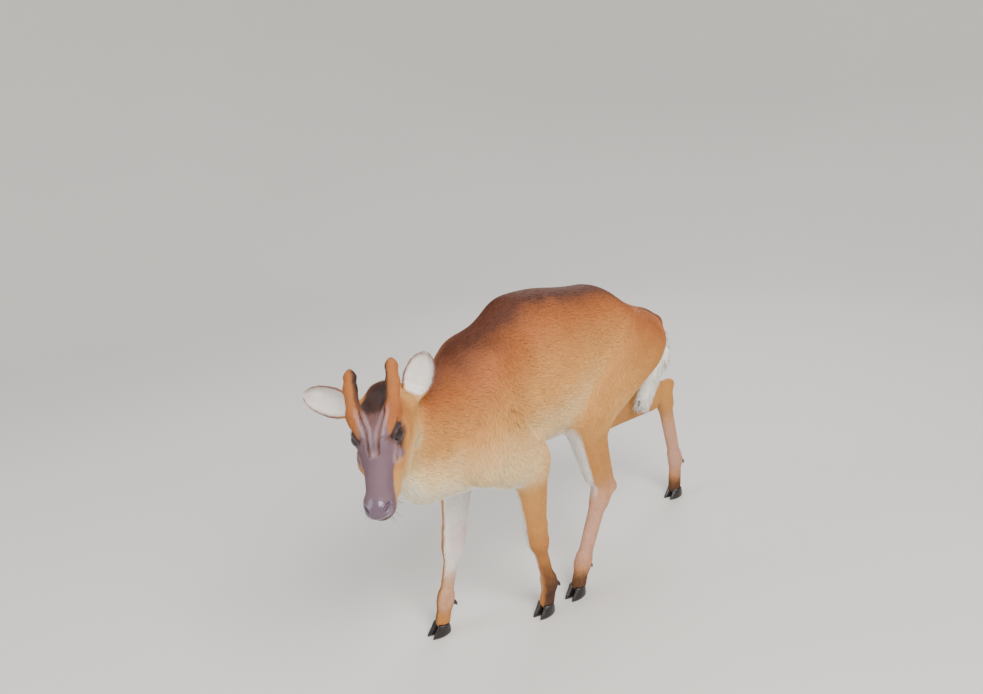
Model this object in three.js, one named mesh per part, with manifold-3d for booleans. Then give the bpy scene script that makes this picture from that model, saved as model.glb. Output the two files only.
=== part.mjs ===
// A muntjac buck in mid step, life size, as a still model. Millimetres, +Z up.
// It faces -Y, its left side is +X and its soles lie on the floor at z = 0.
// The flesh is one smooth field of named oval masses. Every node of flesh is a slice of that
// field between two planes, so neighbours meet face to face with a thin gap.
import * as THREE from "three";
import { mergeVertices } from "three/addons/utils/BufferGeometryUtils.js";
import Module from "manifold-3d";

const wasm = await Module();
wasm.setup();

const place = (x, y, z) => new THREE.Vector3(x, y, z);
const LEFT = place(1, 0, 0);
const DOWN = place(0, 0, -1);
const GAP = 0.3; // between nodes that touch

// Where the joints are in this pose
const NECK_ROOT = place(0, -222, 430);
const NECK_MIDDLE = place(10, -318, 434);
const POLL = place(27, -398, 488);
const TAIL_ROOT = place(0, 308, 433);
const FORELEGS = {
  left: {
    shoulder: place(60, -226, 345),
    elbow: place(60, -133, 302),
    carpus: place(57, -126, 162),
    fetlock: place(54, -98, 54),
    toe: place(54, -114, 0),
  },
  right: {
    shoulder: place(-60, -238, 345),
    elbow: place(-59, -190, 298),
    carpus: place(-55, -222, 156),
    fetlock: place(-51, -258, 54),
    toe: place(-50, -276, 0),
  },
};
const HINDLEGS = {
  left: {
    hip: place(52, 196, 434),
    stifle: place(66, 30, 360),
    hock: place(56, 57, 180),
    fetlock: place(60, -13, 56),
    toe: place(59, -33, 0),
  },
  right: {
    hip: place(-52, 204, 434),
    stifle: place(-68, 190, 290),
    hock: place(-52, 402, 243),
    fetlock: place(-46, 431, 82),
    toe: place(-44, 420, 0),
  },
};

// The head has its own axes: forward along the face, up through the crown, left through the left ear
const HEAD_TURN = THREE.MathUtils.degToRad(43);
const HEAD_BOW = THREE.MathUtils.degToRad(21);
const HEAD_ROLL = THREE.MathUtils.degToRad(8);
const FACE = headAxes();

function headAxes() {
  const forward = place(
    Math.sin(HEAD_TURN) * Math.cos(HEAD_BOW),
    -Math.cos(HEAD_TURN) * Math.cos(HEAD_BOW),
    -Math.sin(HEAD_BOW),
  );
  const levelLeft = place(Math.cos(HEAD_TURN), Math.sin(HEAD_TURN), 0);
  const levelUp = forward.clone().cross(levelLeft);
  return {
    forward,
    up: levelUp.clone().applyAxisAngle(forward, HEAD_ROLL),
    left: levelLeft.clone().applyAxisAngle(forward, HEAD_ROLL),
  };
}

function headVector(forward, up, left) {
  return new THREE.Vector3()
    .addScaledVector(FACE.forward, forward)
    .addScaledVector(FACE.up, up)
    .addScaledVector(FACE.left, left);
}

function onHead(forward, up, left = 0) {
  return headVector(forward, up, left).add(POLL);
}

// The field: oval masses that taper from one point to another, melted together

// Radii are [across, deep]: across lies along side, deep is square to it and to the axis
function mass(from, to, fromRadii, toRadii, soft, side = LEFT) {
  const axis = to.clone().sub(from);
  const length = axis.length();
  axis.normalize();
  const across = side.clone().addScaledVector(axis, -side.dot(axis)).normalize();
  const deep = axis.clone().cross(across);
  const reach = Math.max(...fromRadii, ...toRadii) + length / 2;
  const middle = from.clone().lerp(to, 0.5);
  return { from, axis, length, across, deep, fromRadii, toRadii, soft, reach, middle };
}

function between(a, b, share) {
  return a + (b - a) * share;
}

const offset = new THREE.Vector3();

function distanceTo(piece, point) {
  offset.subVectors(point, piece.from);
  const along = offset.dot(piece.axis);
  const inside = Math.min(Math.max(along, 0), piece.length);
  const share = inside / piece.length;
  const wide = between(piece.fromRadii[0], piece.toRadii[0], share);
  const deep = between(piece.fromRadii[1], piece.toRadii[1], share);
  const cap = (wide + deep) / 2;
  const a = offset.dot(piece.across) / wide;
  const d = offset.dot(piece.deep) / deep;
  const e = (along - inside) / cap;
  const size = Math.sqrt(a * a + d * d + e * e);
  const slope = Math.sqrt((a / wide) ** 2 + (d / deep) ** 2 + (e / cap) ** 2);
  return slope < 1e-9 ? -Math.min(wide, deep) : (size * (size - 1)) / slope;
}

function melt(a, b, soft) {
  const near = Math.max(soft - Math.abs(a - b), 0) / soft;
  return Math.min(a, b) - (near * near * soft) / 4;
}

function fieldOf(masses) {
  return (point) => {
    let distance = 1e6;
    for (const piece of masses) {
      const far = point.distanceTo(piece.middle) - piece.reach;
      if (far < distance + piece.soft) {
        distance = melt(distance, distanceTo(piece, point), piece.soft);
      }
    }
    return distance;
  };
}

// Trunk and neck

const TRUNK_SOFT = 36;
const trunk = [
  // ribs, belly, loin and croup
  mass(place(0, -170, 420), place(0, -40, 438), [74, 115], [84, 131], TRUNK_SOFT),
  mass(place(0, -40, 434), place(0, 125, 448), [83, 122], [72, 91], TRUNK_SOFT),
  mass(place(0, -70, 508), place(0, 92, 498), [52, 70], [56, 60], TRUNK_SOFT),
  mass(place(0, 130, 446), place(0, 252, 426), [66, 70], [52, 49], TRUNK_SOFT),
  // withers and brisket
  mass(place(0, -196, 486), place(0, -105, 534), [28, 40], [32, 44], TRUNK_SOFT),
  mass(place(8, -322, 350), place(2, -165, 342), [46, 62], [54, 74], TRUNK_SOFT),
  // root of the tail
  mass(place(0, 250, 446), TAIL_ROOT, [28, 30], [17, 17], 22),
];
const neck = [
  mass(NECK_ROOT, NECK_MIDDLE, [58, 86], [42, 60], TRUNK_SOFT),
  mass(NECK_MIDDLE, onHead(-4, -18), [42, 60], [37, 42], 24),
  mass(place(8, -312, 392), onHead(14, -42), [32, 40], [22, 22], 30),
];

// Legs: each row of sizes is the same on both sides, and the joints say where it lies

const HOOF_TOP = 20.5; // above the floor

function lerpTo(a, b, share, backward = 0, side = LEFT) {
  const axis = b.clone().sub(a).normalize();
  const front = axis.clone().cross(side).normalize();
  return a.clone().lerp(b, share).addScaledVector(front, -backward);
}

// Where the pastern ends and the hooves begin
function ankleOf(fetlock, toe) {
  return fetlock.clone().lerp(toe, 1 - HOOF_TOP / fetlock.z);
}

function forelegMasses({ shoulder, elbow, carpus, fetlock, toe }, sign) {
  const blade = place(sign * 40, shoulder.y + 66, 490);
  return [
    mass(blade, shoulder, [21, 40], [30, 46], 34),
    mass(shoulder, elbow, [31, 40], [25, 30], 34),
    mass(lerpTo(shoulder, elbow, 0.5), elbow, [26, 42], [22, 24], 34),
    // the armpit, closed up to the ribs
    mass(
      place(sign * 36, shoulder.y + 50, 340),
      place(sign * 44, elbow.y + 16, 324),
      [26, 26],
      [20, 20],
      34,
    ),
    // forearm and knee
    mass(elbow, lerpTo(elbow, carpus, 0.82), [28, 38], [18, 23], 18),
    mass(lerpTo(elbow, carpus, 0.9), lerpTo(carpus, fetlock, 0.08), [19, 21.5], [18.5, 20.5], 12),
    mass(carpus, lerpTo(carpus, fetlock, 0.2, 4), [15, 17], [12, 14], 12),
    // cannon, fetlock and pastern
    mass(lerpTo(carpus, fetlock, 0.1), lerpTo(carpus, fetlock, 0.85), [12, 14], [11, 12.5], 12),
    mass(lerpTo(carpus, fetlock, 0.92), fetlock, [14.5, 15.5], [14, 15], 9),
    mass(fetlock, ankleOf(fetlock, toe), [12.5, 13.5], [13.5, 13.5], 9),
  ];
}

function hindlegMasses({ hip, stifle, hock, fetlock, toe }, sign) {
  const seat = place(sign * 38, hip.y + 38, 424);
  const heel = lerpTo(hock, fetlock, -0.08, 26);
  const shinTop = lerpTo(stifle, hock, 0.06, -28).addScaledVector(LEFT, -sign * 15);
  const shinEnd = lerpTo(stifle, hock, 0.8, -13).addScaledVector(LEFT, -sign * 8);
  return [
    // haunch: the rump muscle, the hamstrings and the knee
    mass(hip, stifle, [36, 66], [30, 46], 30),
    mass(seat, lerpTo(stifle, hock, 0.22, 15), [30, 38], [18, 20], 30),
    mass(stifle, lerpTo(stifle, hock, 0.12, -10), [28, 38], [28, 46], 20),
    // shank, tendon and heel
    mass(lerpTo(stifle, hock, 0.06, -15), lerpTo(stifle, hock, 0.76, -6), [28, 44], [16, 21], 16),
    mass(shinTop, shinEnd, [24, 31], [13, 16.5], 16),
    mass(lerpTo(stifle, hock, 0.4, 16), heel, [8, 12], [8.5, 9], 16),
    mass(lerpTo(stifle, hock, 0.88), lerpTo(hock, fetlock, 0.14), [15, 18], [14, 16], 13),
    mass(heel, lerpTo(hock, fetlock, 0.12, 10), [9.5, 10], [12, 12], 12),
    // cannon, fetlock and pastern
    mass(hock, lerpTo(hock, fetlock, 0.88), [15, 17], [12.5, 14], 12),
    mass(lerpTo(hock, fetlock, 0.93), fetlock, [14.5, 16], [14.5, 15.5], 9),
    mass(fetlock, ankleOf(fetlock, toe), [13, 14], [13.5, 14], 9),
  ];
}

const limbs = [
  ...forelegMasses(FORELEGS.left, 1),
  ...forelegMasses(FORELEGS.right, -1),
  ...hindlegMasses(HINDLEGS.left, 1),
  ...hindlegMasses(HINDLEGS.right, -1),
  // the fold of skin from the belly to the left knee
  mass(place(58, -30, 376), HINDLEGS.left.stifle, [9, 18], [16, 24], 34),
  mass(place(-58, 60, 372), place(-66, 165, 312), [9, 18], [16, 24], 34),
];

// Head

const headSide = FACE.left;

function headMass(from, to, fromRadii, toRadii, soft) {
  return mass(onHead(...from), onHead(...to), fromRadii, toRadii, soft, headSide);
}

function faceSide(sign) {
  return [
    // orbit, cheekbone, cheek and the ridge that runs up into the pedicel
    headMass([72, 14, sign * 24], [100, 8, sign * 23], [13.5, 17], [11, 14], 10),
    headMass([46, -6, sign * 31], [112, -16, sign * 24], [13, 14], [10, 10], 12),
    headMass([34, -32, sign * 22], [92, -40, sign * 19], [18, 30], [14, 23], 14),
    headMass([112, 12, sign * 12], [60, 34, sign * 27], [6, 6], [11, 10], 10),
    headMass([14, 0, sign * 28], [8, 0, sign * 37], [15, 18], [13, 15], 12),
    // side of the nose and upper lip
    headMass([112, -30, sign * 13], [182, -37, sign * 11], [14, 14], [9.5, 9.5], 12),
  ];
}

const headMasses = [
  // brain case, brow, face and bridge of the nose
  headMass([6, -8, 0], [52, 6, 0], [38, 38], [38, 34], 16),
  headMass([52, 4, 0], [100, -2, 0], [37, 33], [27, 29], 16),
  headMass([100, -4, 0], [187, -24, 0], [24, 25], [15, 15], 14),
  headMass([181, -23, 0], [193, -27, 0], [21, 13], [18, 12], 8),
  // lower jaw and chin
  headMass([24, -44, 0], [130, -48, 0], [30, 26], [21, 17], 14),
  headMass([130, -48, 0], [180, -48, 0], [19, 15], [13, 9.5], 10),
  ...faceSide(1),
  ...faceSide(-1),
];

const flesh = fieldOf([...trunk, ...neck, ...headMasses, ...limbs]);

// The same field a gap further out, for parting what stands on the skin from the skin
const sleeve = (point) => flesh(point) - GAP;

// Meshing

function closed(positions, triangles) {
  const mesh = new wasm.Mesh({
    numProp: 3,
    vertProperties: new Float32Array(positions),
    triVerts: new Uint32Array(triangles),
  });
  return new wasm.Manifold(mesh);
}

function manifoldOf(geometry) {
  const bare = geometry.clone();
  bare.deleteAttribute("normal");
  bare.deleteAttribute("uv");
  const merged = mergeVertices(bare, 1e-4);
  return closed(merged.attributes.position.array, merged.index.array);
}

// A cut can leave crumbs: only the largest closed surface is the piece
function largest(solid) {
  return solid.decompose().sort((a, b) => b.volume() - a.volume())[0];
}

function geometryOf(solid) {
  const mesh = solid.getMesh();
  const geometry = new THREE.BufferGeometry();
  geometry.setAttribute("position", new THREE.BufferAttribute(mesh.vertProperties, 3));
  geometry.setIndex(new THREE.BufferAttribute(mesh.triVerts, 1));
  return geometry;
}

// Rings of equal count joined side by side. An end is closed by a fan about its own middle
function skinOver(rings, firstPole, lastPole) {
  const sides = rings[0].length;
  const points = rings.flat();
  const triangles = [];
  for (let row = 0; row + 1 < rings.length; row += 1) {
    for (let side = 0; side < sides; side += 1) {
      const next = (side + 1) % sides;
      const a = row * sides + side;
      const b = row * sides + next;
      const c = a + sides;
      const d = b + sides;
      if (points[a].distanceTo(points[d]) < points[b].distanceTo(points[c])) {
        triangles.push(a, b, d, a, d, c);
      } else {
        triangles.push(a, b, c, b, d, c);
      }
    }
  }
  const first = points.push(firstPole) - 1;
  const last = points.push(lastPole) - 1;
  const lastRow = (rings.length - 1) * sides;
  for (let side = 0; side < sides; side += 1) {
    const next = (side + 1) % sides;
    triangles.push(first, next, side);
    triangles.push(last, lastRow + side, lastRow + next);
  }
  return closed(points.flatMap((point) => point.toArray()), triangles);
}

function middleOf(points) {
  const sum = points.reduce((total, point) => total.add(point), new THREE.Vector3());
  return sum.divideScalar(points.length);
}

// How far the surface is from a point inside it, along a direction
function reachOf(field, start, direction, limit) {
  const point = new THREE.Vector3();
  const at = (reach) => field(point.copy(start).addScaledVector(direction, reach));
  let reach = 0;
  let inner = 0;
  let distance = at(0);
  while (distance < 0 && reach < limit) {
    inner = reach;
    reach += Math.max(-distance * 0.7, 0.4);
    distance = at(reach);
  }
  let outer = reach;
  for (let turn = 0; turn < 18; turn += 1) {
    const middle = (inner + outer) / 2;
    if (at(middle) < 0) {
      inner = middle;
    } else {
      outer = middle;
    }
  }
  return inner;
}

function ringAt({ at, normal, side }, sides, field, limit) {
  const across = side.clone().addScaledVector(normal, -side.dot(normal)).normalize();
  const deep = normal.clone().cross(across);
  return Array.from({ length: sides }, (_, index) => {
    const angle = (index * 2 * Math.PI) / sides;
    const direction = across.clone().multiplyScalar(Math.cos(angle));
    direction.addScaledVector(deep, Math.sin(angle));
    return at.clone().addScaledVector(direction, reachOf(field, at, direction, limit));
  });
}

// A route through the flesh, with a plane across it at every stop
function routeOf(stops, side = LEFT) {
  const curve = new THREE.CatmullRomCurve3(stops.map((stop) => stop.at));
  const last = stops.length - 1;
  const normals = stops.map((stop, index) => {
    return stop.normal ? stop.normal.clone().normalize() : curve.getTangent(index / last);
  });
  return (stop) => {
    const before = Math.min(Math.floor(stop), last - 1);
    const normal = normals[before].clone().lerp(normals[before + 1], stop - before).normalize();
    return { at: curve.getPoint(stop / last), normal, side };
  };
}

// The slice of the flesh along a route from one stop to another
function slice(route, from, to, rings, sides, { field = flesh, limit = 140, inset = GAP / 2 } = {}) {
  const loops = Array.from({ length: rings + 1 }, (_, index) => {
    const plane = route(between(from, to, index / rings));
    if (index === 0) {
      plane.at.addScaledVector(plane.normal, inset);
    }
    if (index === rings) {
      plane.at.addScaledVector(plane.normal, -inset);
    }
    return ringAt(plane, sides, field, limit);
  });
  return skinOver(loops, middleOf(loops[0]), middleOf(loops[rings]));
}

// A ring with a set outline, given as [across, deep] pairs
function outlineRing({ at, normal, side }, outline) {
  const across = side.clone().addScaledVector(normal, -side.dot(normal)).normalize();
  const deep = normal.clone().cross(across);
  return outline.map(([a, d]) => at.clone().addScaledVector(across, a).addScaledVector(deep, d));
}

function oval([across, deep], sides) {
  return Array.from({ length: sides }, (_, index) => {
    const angle = (index * 2 * Math.PI) / sides;
    return [across * Math.cos(angle), deep * Math.sin(angle)];
  });
}

// A tube of ovals through points, with [across, deep] radii for every point
function tube(points, radii, rings, sides, side = LEFT) {
  const route = routeOf(points.map((at) => ({ at })), side);
  const last = points.length - 1;
  const loops = Array.from({ length: rings }, (_, index) => {
    const stop = between(0, last, index / (rings - 1));
    const before = Math.min(Math.floor(stop), last - 1);
    const size = [0, 1].map((n) => between(radii[before][n], radii[before + 1][n], stop - before));
    return outlineRing(route(stop), oval(size, sides));
  });
  return skinOver(loops, middleOf(loops[0]), middleOf(loops[rings - 1]));
}

// A thin slab that parts one node from the next, no wider than its place allows
function knife({ at, normal, side }, width, depth) {
  const across = side.clone().addScaledVector(normal, -side.dot(normal)).normalize();
  const deep = normal.clone().cross(across);
  const slab = new THREE.BoxGeometry(width, depth, GAP);
  slab.applyMatrix4(new THREE.Matrix4().makeBasis(across, deep, normal).setPosition(at));
  return manifoldOf(slab);
}

// A mesh of the whole field inside a box, on a grid, with every corner drawn to the surface
function netOver(field, low, high, cell) {
  const size = high.clone().sub(low).divideScalar(cell).ceil();
  const [nx, ny, nz] = size.toArray().map((count) => count + 1);
  const index = (i, j, k) => i + nx * (j + ny * k);
  const values = new Float32Array(nx * ny * nz);
  const point = new THREE.Vector3();
  for (let k = 0; k < nz; k += 1) {
    for (let j = 0; j < ny; j += 1) {
      for (let i = 0; i < nx; i += 1) {
        point.set(low.x + i * cell, low.y + j * cell, low.z + k * cell);
        const rim = i === 0 || j === 0 || k === 0 || i === nx - 1 || j === ny - 1 || k === nz - 1;
        values[index(i, j, k)] = rim ? cell : field(point);
      }
    }
  }
  const corners = [];
  const cornerOf = new Map();
  for (let k = 0; k + 1 < nz; k += 1) {
    for (let j = 0; j + 1 < ny; j += 1) {
      for (let i = 0; i + 1 < nx; i += 1) {
        const crossing = cellCrossing(values, index, i, j, k);
        if (crossing) {
          cornerOf.set(index(i, j, k), corners.length);
          corners.push(crossing.multiplyScalar(cell).add(low));
        }
      }
    }
  }
  const steps = [place(1, 0, 0), place(0, 1, 0), place(0, 0, 1)];
  const triangles = [];
  for (let k = 0; k + 1 < nz; k += 1) {
    for (let j = 0; j + 1 < ny; j += 1) {
      for (let i = 0; i + 1 < nx; i += 1) {
        steps.forEach((step, axis) => {
          const here = values[index(i, j, k)] < 0;
          const there = values[index(i + step.x, j + step.y, k + step.z)] < 0;
          if (here === there) {
            return;
          }
          const u = steps[(axis + 1) % 3];
          const w = steps[(axis + 2) % 3];
          const around = [[0, 0], [1, 0], [1, 1], [0, 1]].map(([p, q]) => {
            const x = i - p * u.x - q * w.x;
            const y = j - p * u.y - q * w.y;
            const z = k - p * u.z - q * w.z;
            return cornerOf.get(index(x, y, z));
          });
          const [a, b, c, d] = here ? around : around.reverse();
          if (corners[a].distanceTo(corners[c]) < corners[b].distanceTo(corners[d])) {
            triangles.push(a, b, c, a, c, d);
          } else {
            triangles.push(a, b, d, b, c, d);
          }
        });
      }
    }
  }
  corners.forEach((corner) => drawToSurface(field, corner, low, high, cell));
  relax(corners, triangles);
  corners.forEach((corner) => drawToSurface(field, corner, low, high, cell));
  return closed(corners.flatMap((corner) => corner.toArray()), triangles);
}

function cellCrossing(values, index, i, j, k) {
  const total = new THREE.Vector3();
  let count = 0;
  for (let axis = 0; axis < 3; axis += 1) {
    for (const [p, q] of [[0, 0], [1, 0], [0, 1], [1, 1]]) {
      const start = [0, 0, 0];
      start[(axis + 1) % 3] = p;
      start[(axis + 2) % 3] = q;
      const end = [...start];
      end[axis] = 1;
      const a = values[index(i + start[0], j + start[1], k + start[2])];
      const b = values[index(i + end[0], j + end[1], k + end[2])];
      if (a < 0 !== b < 0) {
        start[axis] = a / (a - b);
        total.add(place(i + start[0], j + start[1], k + start[2]));
        count += 1;
      }
    }
  }
  return count > 0 ? total.divideScalar(count) : null;
}

function slopeOf(field, point) {
  const step = 0.5;
  const slope = new THREE.Vector3();
  for (const axis of ["x", "y", "z"]) {
    const ahead = point.clone();
    const behind = point.clone();
    ahead[axis] += step;
    behind[axis] -= step;
    slope[axis] = (field(ahead) - field(behind)) / (2 * step);
  }
  return slope;
}

// Evens out the net: every corner moves halfway to the middle of its neighbours
function relax(corners, triangles) {
  const near = corners.map(() => new Set());
  for (let start = 0; start < triangles.length; start += 3) {
    for (let n = 0; n < 3; n += 1) {
      near[triangles[start + n]].add(triangles[start + ((n + 1) % 3)]);
      near[triangles[start + n]].add(triangles[start + ((n + 2) % 3)]);
    }
  }
  for (let turn = 0; turn < 3; turn += 1) {
    const middles = near.map((others) => middleOf([...others].map((other) => corners[other])));
    corners.forEach((corner, index) => corner.lerp(middles[index], 0.5));
  }
}

function drawToSurface(field, corner, low, high, cell) {
  const rim = ["x", "y", "z"].some((axis) => {
    return corner[axis] < low[axis] + 2 * cell || corner[axis] > high[axis] - 2 * cell;
  });
  if (rim) {
    return;
  }
  for (let turn = 0; turn < 3; turn += 1) {
    const slope = slopeOf(field, corner);
    const step = -field(corner) / Math.max(slope.lengthSq(), 0.2);
    corner.addScaledVector(slope, THREE.MathUtils.clamp(step, -cell / 3, cell / 3));
  }
}

// Colours of the coat and of what it leaves bare

function finish(color, roughness = 0.85) {
  return new THREE.MeshStandardMaterial({ color, roughness, metalness: 0 });
}

const finishes = {
  coat: finish("#a8703a"),
  throat: finish("#dcc29a"),
  face: finish("#6e5450"),
  pedicel: finish("#a5683a"),
  ear: finish("#e9dfd8"),
  tail: finish("#ece6e0"),
  hoof: finish("#15120f", 0.45),
  eye: finish("#1c120c", 0.08),
};

const muntjac = new THREE.Group();

function add(name, solid, material) {
  const mesh = new THREE.Mesh(geometryOf(largest(solid)), material);
  mesh.name = name;
  muntjac.add(mesh);
  return mesh;
}

// Planes where the trunk meets what it carries

const HEAD_CUT = -14; // how far forward of the poll the head begins
const NECK_CUT = {
  at: place(4, -292, 455),
  normal: place(0.05, -0.67, 0.74).normalize(),
  side: LEFT,
};
const NAPE = POLL.clone().sub(NECK_MIDDLE).normalize().add(FACE.forward).normalize();

const neckRoute = routeOf([
  NECK_CUT,
  { at: place(13, -342, 464), normal: NECK_CUT.normal.clone().add(NAPE) },
  { at: onHead(HEAD_CUT, -18), normal: NAPE },
]);

function forelegRoute({ elbow, carpus, fetlock, toe }) {
  return routeOf([
    { at: lerpTo(elbow, carpus, 0.26) },
    { at: lerpTo(elbow, carpus, 0.62) },
    { at: lerpTo(elbow, carpus, 0.86) },
    { at: lerpTo(carpus, fetlock, 0.14) },
    { at: lerpTo(carpus, fetlock, 0.5) },
    { at: lerpTo(carpus, fetlock, 0.86) },
    { at: lerpTo(fetlock, toe, 0.12) },
    { at: ankleOf(fetlock, toe), normal: DOWN },
  ]);
}

function hindlegRoute({ stifle, hock, fetlock, toe }, start) {
  return routeOf([
    start,
    { at: lerpTo(stifle, hock, 0.5, 4) },
    { at: lerpTo(stifle, hock, 0.8, 4) },
    { at: lerpTo(hock, fetlock, 0.04, 5) },
    { at: lerpTo(hock, fetlock, 0.3, 1) },
    { at: lerpTo(hock, fetlock, 0.6) },
    { at: lerpTo(hock, fetlock, 0.88) },
    { at: lerpTo(fetlock, toe, 0.12) },
    { at: ankleOf(fetlock, toe), normal: DOWN },
  ]);
}

const HIND_STARTS = {
  left: { at: place(62, 34, 301), normal: place(0, 0.05, -1) },
  right: { at: place(-62, 212, 318), normal: place(0, 0.35, -1) },
};
const foreRoutes = {
  left: forelegRoute(FORELEGS.left),
  right: forelegRoute(FORELEGS.right),
};
const hindRoutes = {
  left: hindlegRoute(HINDLEGS.left, HIND_STARTS.left),
  right: hindlegRoute(HINDLEGS.right, HIND_STARTS.right),
};

// Tail: a flat oval with a fringe of locks down both edges and at the tip

const TAIL_BEND = place(1, 325, 374);
const TAIL_TIP = place(5, 262, 290);
const tailMasses = [
  mass(place(0, 304, 434), place(0, 325, 402), [15, 15], [15, 12], 16),
  mass(place(0, 325, 402), TAIL_BEND, [15, 12], [18, 12], 12),
  mass(TAIL_BEND, TAIL_TIP, [18, 12], [14, 8], 14),
];
const tailField = fieldOf(tailMasses);
const tailStops = [
  { at: place(0, 315, 433), normal: place(0, 0.6, -0.8) },
  { at: place(0, 325, 404) },
  { at: TAIL_BEND },
  { at: TAIL_TIP.clone().lerp(TAIL_BEND, 0.45).add(place(0, 4, 0)) },
  { at: TAIL_TIP },
  { at: place(6, 255, 284) },
];
const tailRoute = routeOf(tailStops);
const LOCKS_A_SIDE = 7;

function tailLock(stop, turn, length) {
  const { at, normal, side } = tailRoute(stop);
  const across = side.clone().addScaledVector(normal, -side.dot(normal)).normalize();
  const outward = across.multiplyScalar(Math.sin(turn));
  const root = at.clone().addScaledVector(outward, Math.max(reachOf(tailField, at, outward, 40) - 5, 0));
  const lie = outward.clone().multiplyScalar(0.3).add(normal).normalize();
  const middle = root.clone().addScaledVector(lie, length * 0.55).addScaledVector(outward, 2);
  const tip = root.clone().addScaledVector(lie, length);
  return tube([root, middle, tip], [[5, 3.8], [5.5, 3.4], [1, 0.8]], 3, 5);
}

function tailLocks() {
  const locks = [];
  for (let index = 0; index < LOCKS_A_SIDE; index += 1) {
    const stop = between(1.1, 4.6, index / (LOCKS_A_SIDE - 1));
    const length = between(26, 34, index / (LOCKS_A_SIDE - 1));
    locks.push(tailLock(stop, Math.PI / 2, length));
    locks.push(tailLock(stop, -Math.PI / 2, length * 0.94));
  }
  for (const turn of [-0.7, -0.3, 0.1, 0.5]) {
    locks.push(tailLock(4.5, turn, between(34, 28, Math.abs(turn))));
  }
  return locks;
}

const bareTail = slice(tailRoute, 0, 5, 11, 14, { field: tailField });
const tailHollow = slice(tailRoute, 0, 5, 11, 14, {
  field: (point) => tailField(point) - GAP,
  inset: -GAP / 2,
});
add("tail", tailLocks().reduce((tail, lock) => tail.add(lock), bareTail), finishes.tail);

// Trunk

const TRUNK_CELL = 18;
const TRUNK_LOW = place(-130, -420, 222);
const TRUNK_HIGH = place(130, 372, 618);
const FOREARM_CUT = [84, 120]; // width and depth of the slab that parts each leg from the trunk
const THIGH_CUT = [104, 190];
let torso = netOver(flesh, TRUNK_LOW, TRUNK_HIGH, TRUNK_CELL);
torso = torso.subtract(knife(NECK_CUT, 420, 420));
torso = torso.subtract(tailHollow);
for (const side of ["left", "right"]) {
  torso = torso.subtract(knife(foreRoutes[side](0), ...FOREARM_CUT));
  torso = torso.subtract(knife(hindRoutes[side](0), ...THIGH_CUT));
}
add("torso", torso, finishes.coat);
add("neck", slice(neckRoute, 0, 2, 9, 28, { limit: 200 }), finishes.throat);
const neckHollow = slice(neckRoute, 0, 2, 9, 28, { limit: 200, field: sleeve, inset: -GAP / 2 });

// Legs, each in three lengths with two hooves and two dewclaws

const CLAW_SPREAD = 8.1; // from the middle of the foot to the middle of each hoof
const CLAW_SIDES = 14;
const CLAW_ROWS = [
  { z: HOOF_TOP - GAP / 2, heel: -13, toe: 9, half: 6.8 },
  { z: 14, heel: -15.5, toe: 14, half: 7.5 },
  { z: 5, heel: -16.5, toe: 22, half: 7.8 },
  { z: 0, heel: -15.5, toe: 25, half: 7.2 },
];

// A hoof narrows to its toe and is flat on the side of its pair
function claw(toe, heading, sign) {
  const sideways = heading.clone().cross(place(0, 0, sign));
  const loops = CLAW_ROWS.map((row) => {
    return Array.from({ length: CLAW_SIDES }, (_, index) => {
      const angle = (index * 2 * Math.PI) / CLAW_SIDES;
      const along = between(row.heel, row.toe, (1 + Math.cos(angle)) / 2);
      const taper = 1 - 0.35 * Math.max(Math.cos(angle), 0) ** 2;
      const out = Math.sin(angle) * sign * row.half * taper;
      const flat = Math.max(out, -row.half * 0.86);
      const point = place(toe.x, toe.y, row.z).addScaledVector(heading, along);
      return point.addScaledVector(sideways, CLAW_SPREAD + flat);
    });
  });
  return skinOver(loops, middleOf(loops[0]), middleOf(loops[CLAW_ROWS.length - 1]));
}

function dewclaw(fetlock, heading, sign) {
  const sideways = heading.clone().cross(place(0, 0, sign));
  const root = fetlock.clone().addScaledVector(heading, -7).addScaledVector(sideways, 7);
  const middle = root.clone().addScaledVector(heading, -9).addScaledVector(DOWN, 5);
  const tip = root.clone().addScaledVector(heading, -14).addScaledVector(DOWN, 13);
  return tube([root, middle, tip], [[5, 5], [4.4, 4.6], [1, 1]], 6, 8, sideways);
}

function addFoot(name, route, last, { fetlock, toe }, turn) {
  const heading = place(Math.sin(turn), -Math.cos(turn), 0);
  const hollow = slice(route, last - 2, last, 5, 14, { field: sleeve, inset: -GAP / 2 });
  add(`${name}_pastern`, slice(route, last - 2, last, 5, 14), finishes.coat);
  for (const [place_, sign] of [["inner", -1], ["outer", 1]]) {
    const out = name.startsWith("left") ? sign : -sign;
    add(`${name}_${place_}_hoof`, claw(toe, heading, out), finishes.hoof);
    add(`${name}_${place_}_dewclaw`, dewclaw(fetlock, heading, out).subtract(hollow), finishes.hoof);
  }
}

for (const side of ["left", "right"]) {
  const turn = side === "left" ? 0.06 : -0.06;
  add(`${side}_forearm`, slice(foreRoutes[side], 0, 2, 7, 16), finishes.coat);
  add(`${side}_fore_cannon`, slice(foreRoutes[side], 2, 5, 8, 14), finishes.coat);
  addFoot(`${side}_fore`, foreRoutes[side], 7, FORELEGS[side], turn);
  add(`${side}_shank`, slice(hindRoutes[side], 0, 2, 9, 18), finishes.coat);
  add(`${side}_hind_cannon`, slice(hindRoutes[side], 2, 6, 11, 14), finishes.coat);
  addFoot(`${side}_hind`, hindRoutes[side], 8, HINDLEGS[side], turn);
}

// Head

const FACE_STOPS = [HEAD_CUT, 10, 30, 50, 70, 90, 110, 130, 150, 168, 184, 195, 202, 205];
const FACE_RINGS = 32;
const headRoute = routeOf(
  FACE_STOPS.map((forward) => {
    const share = Math.min((forward - HEAD_CUT) / 80, 1);
    return { at: onHead(forward, -18 - forward * 0.055), normal: NAPE.clone().lerp(FACE.forward, share) };
  }),
  FACE.left,
);

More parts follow.
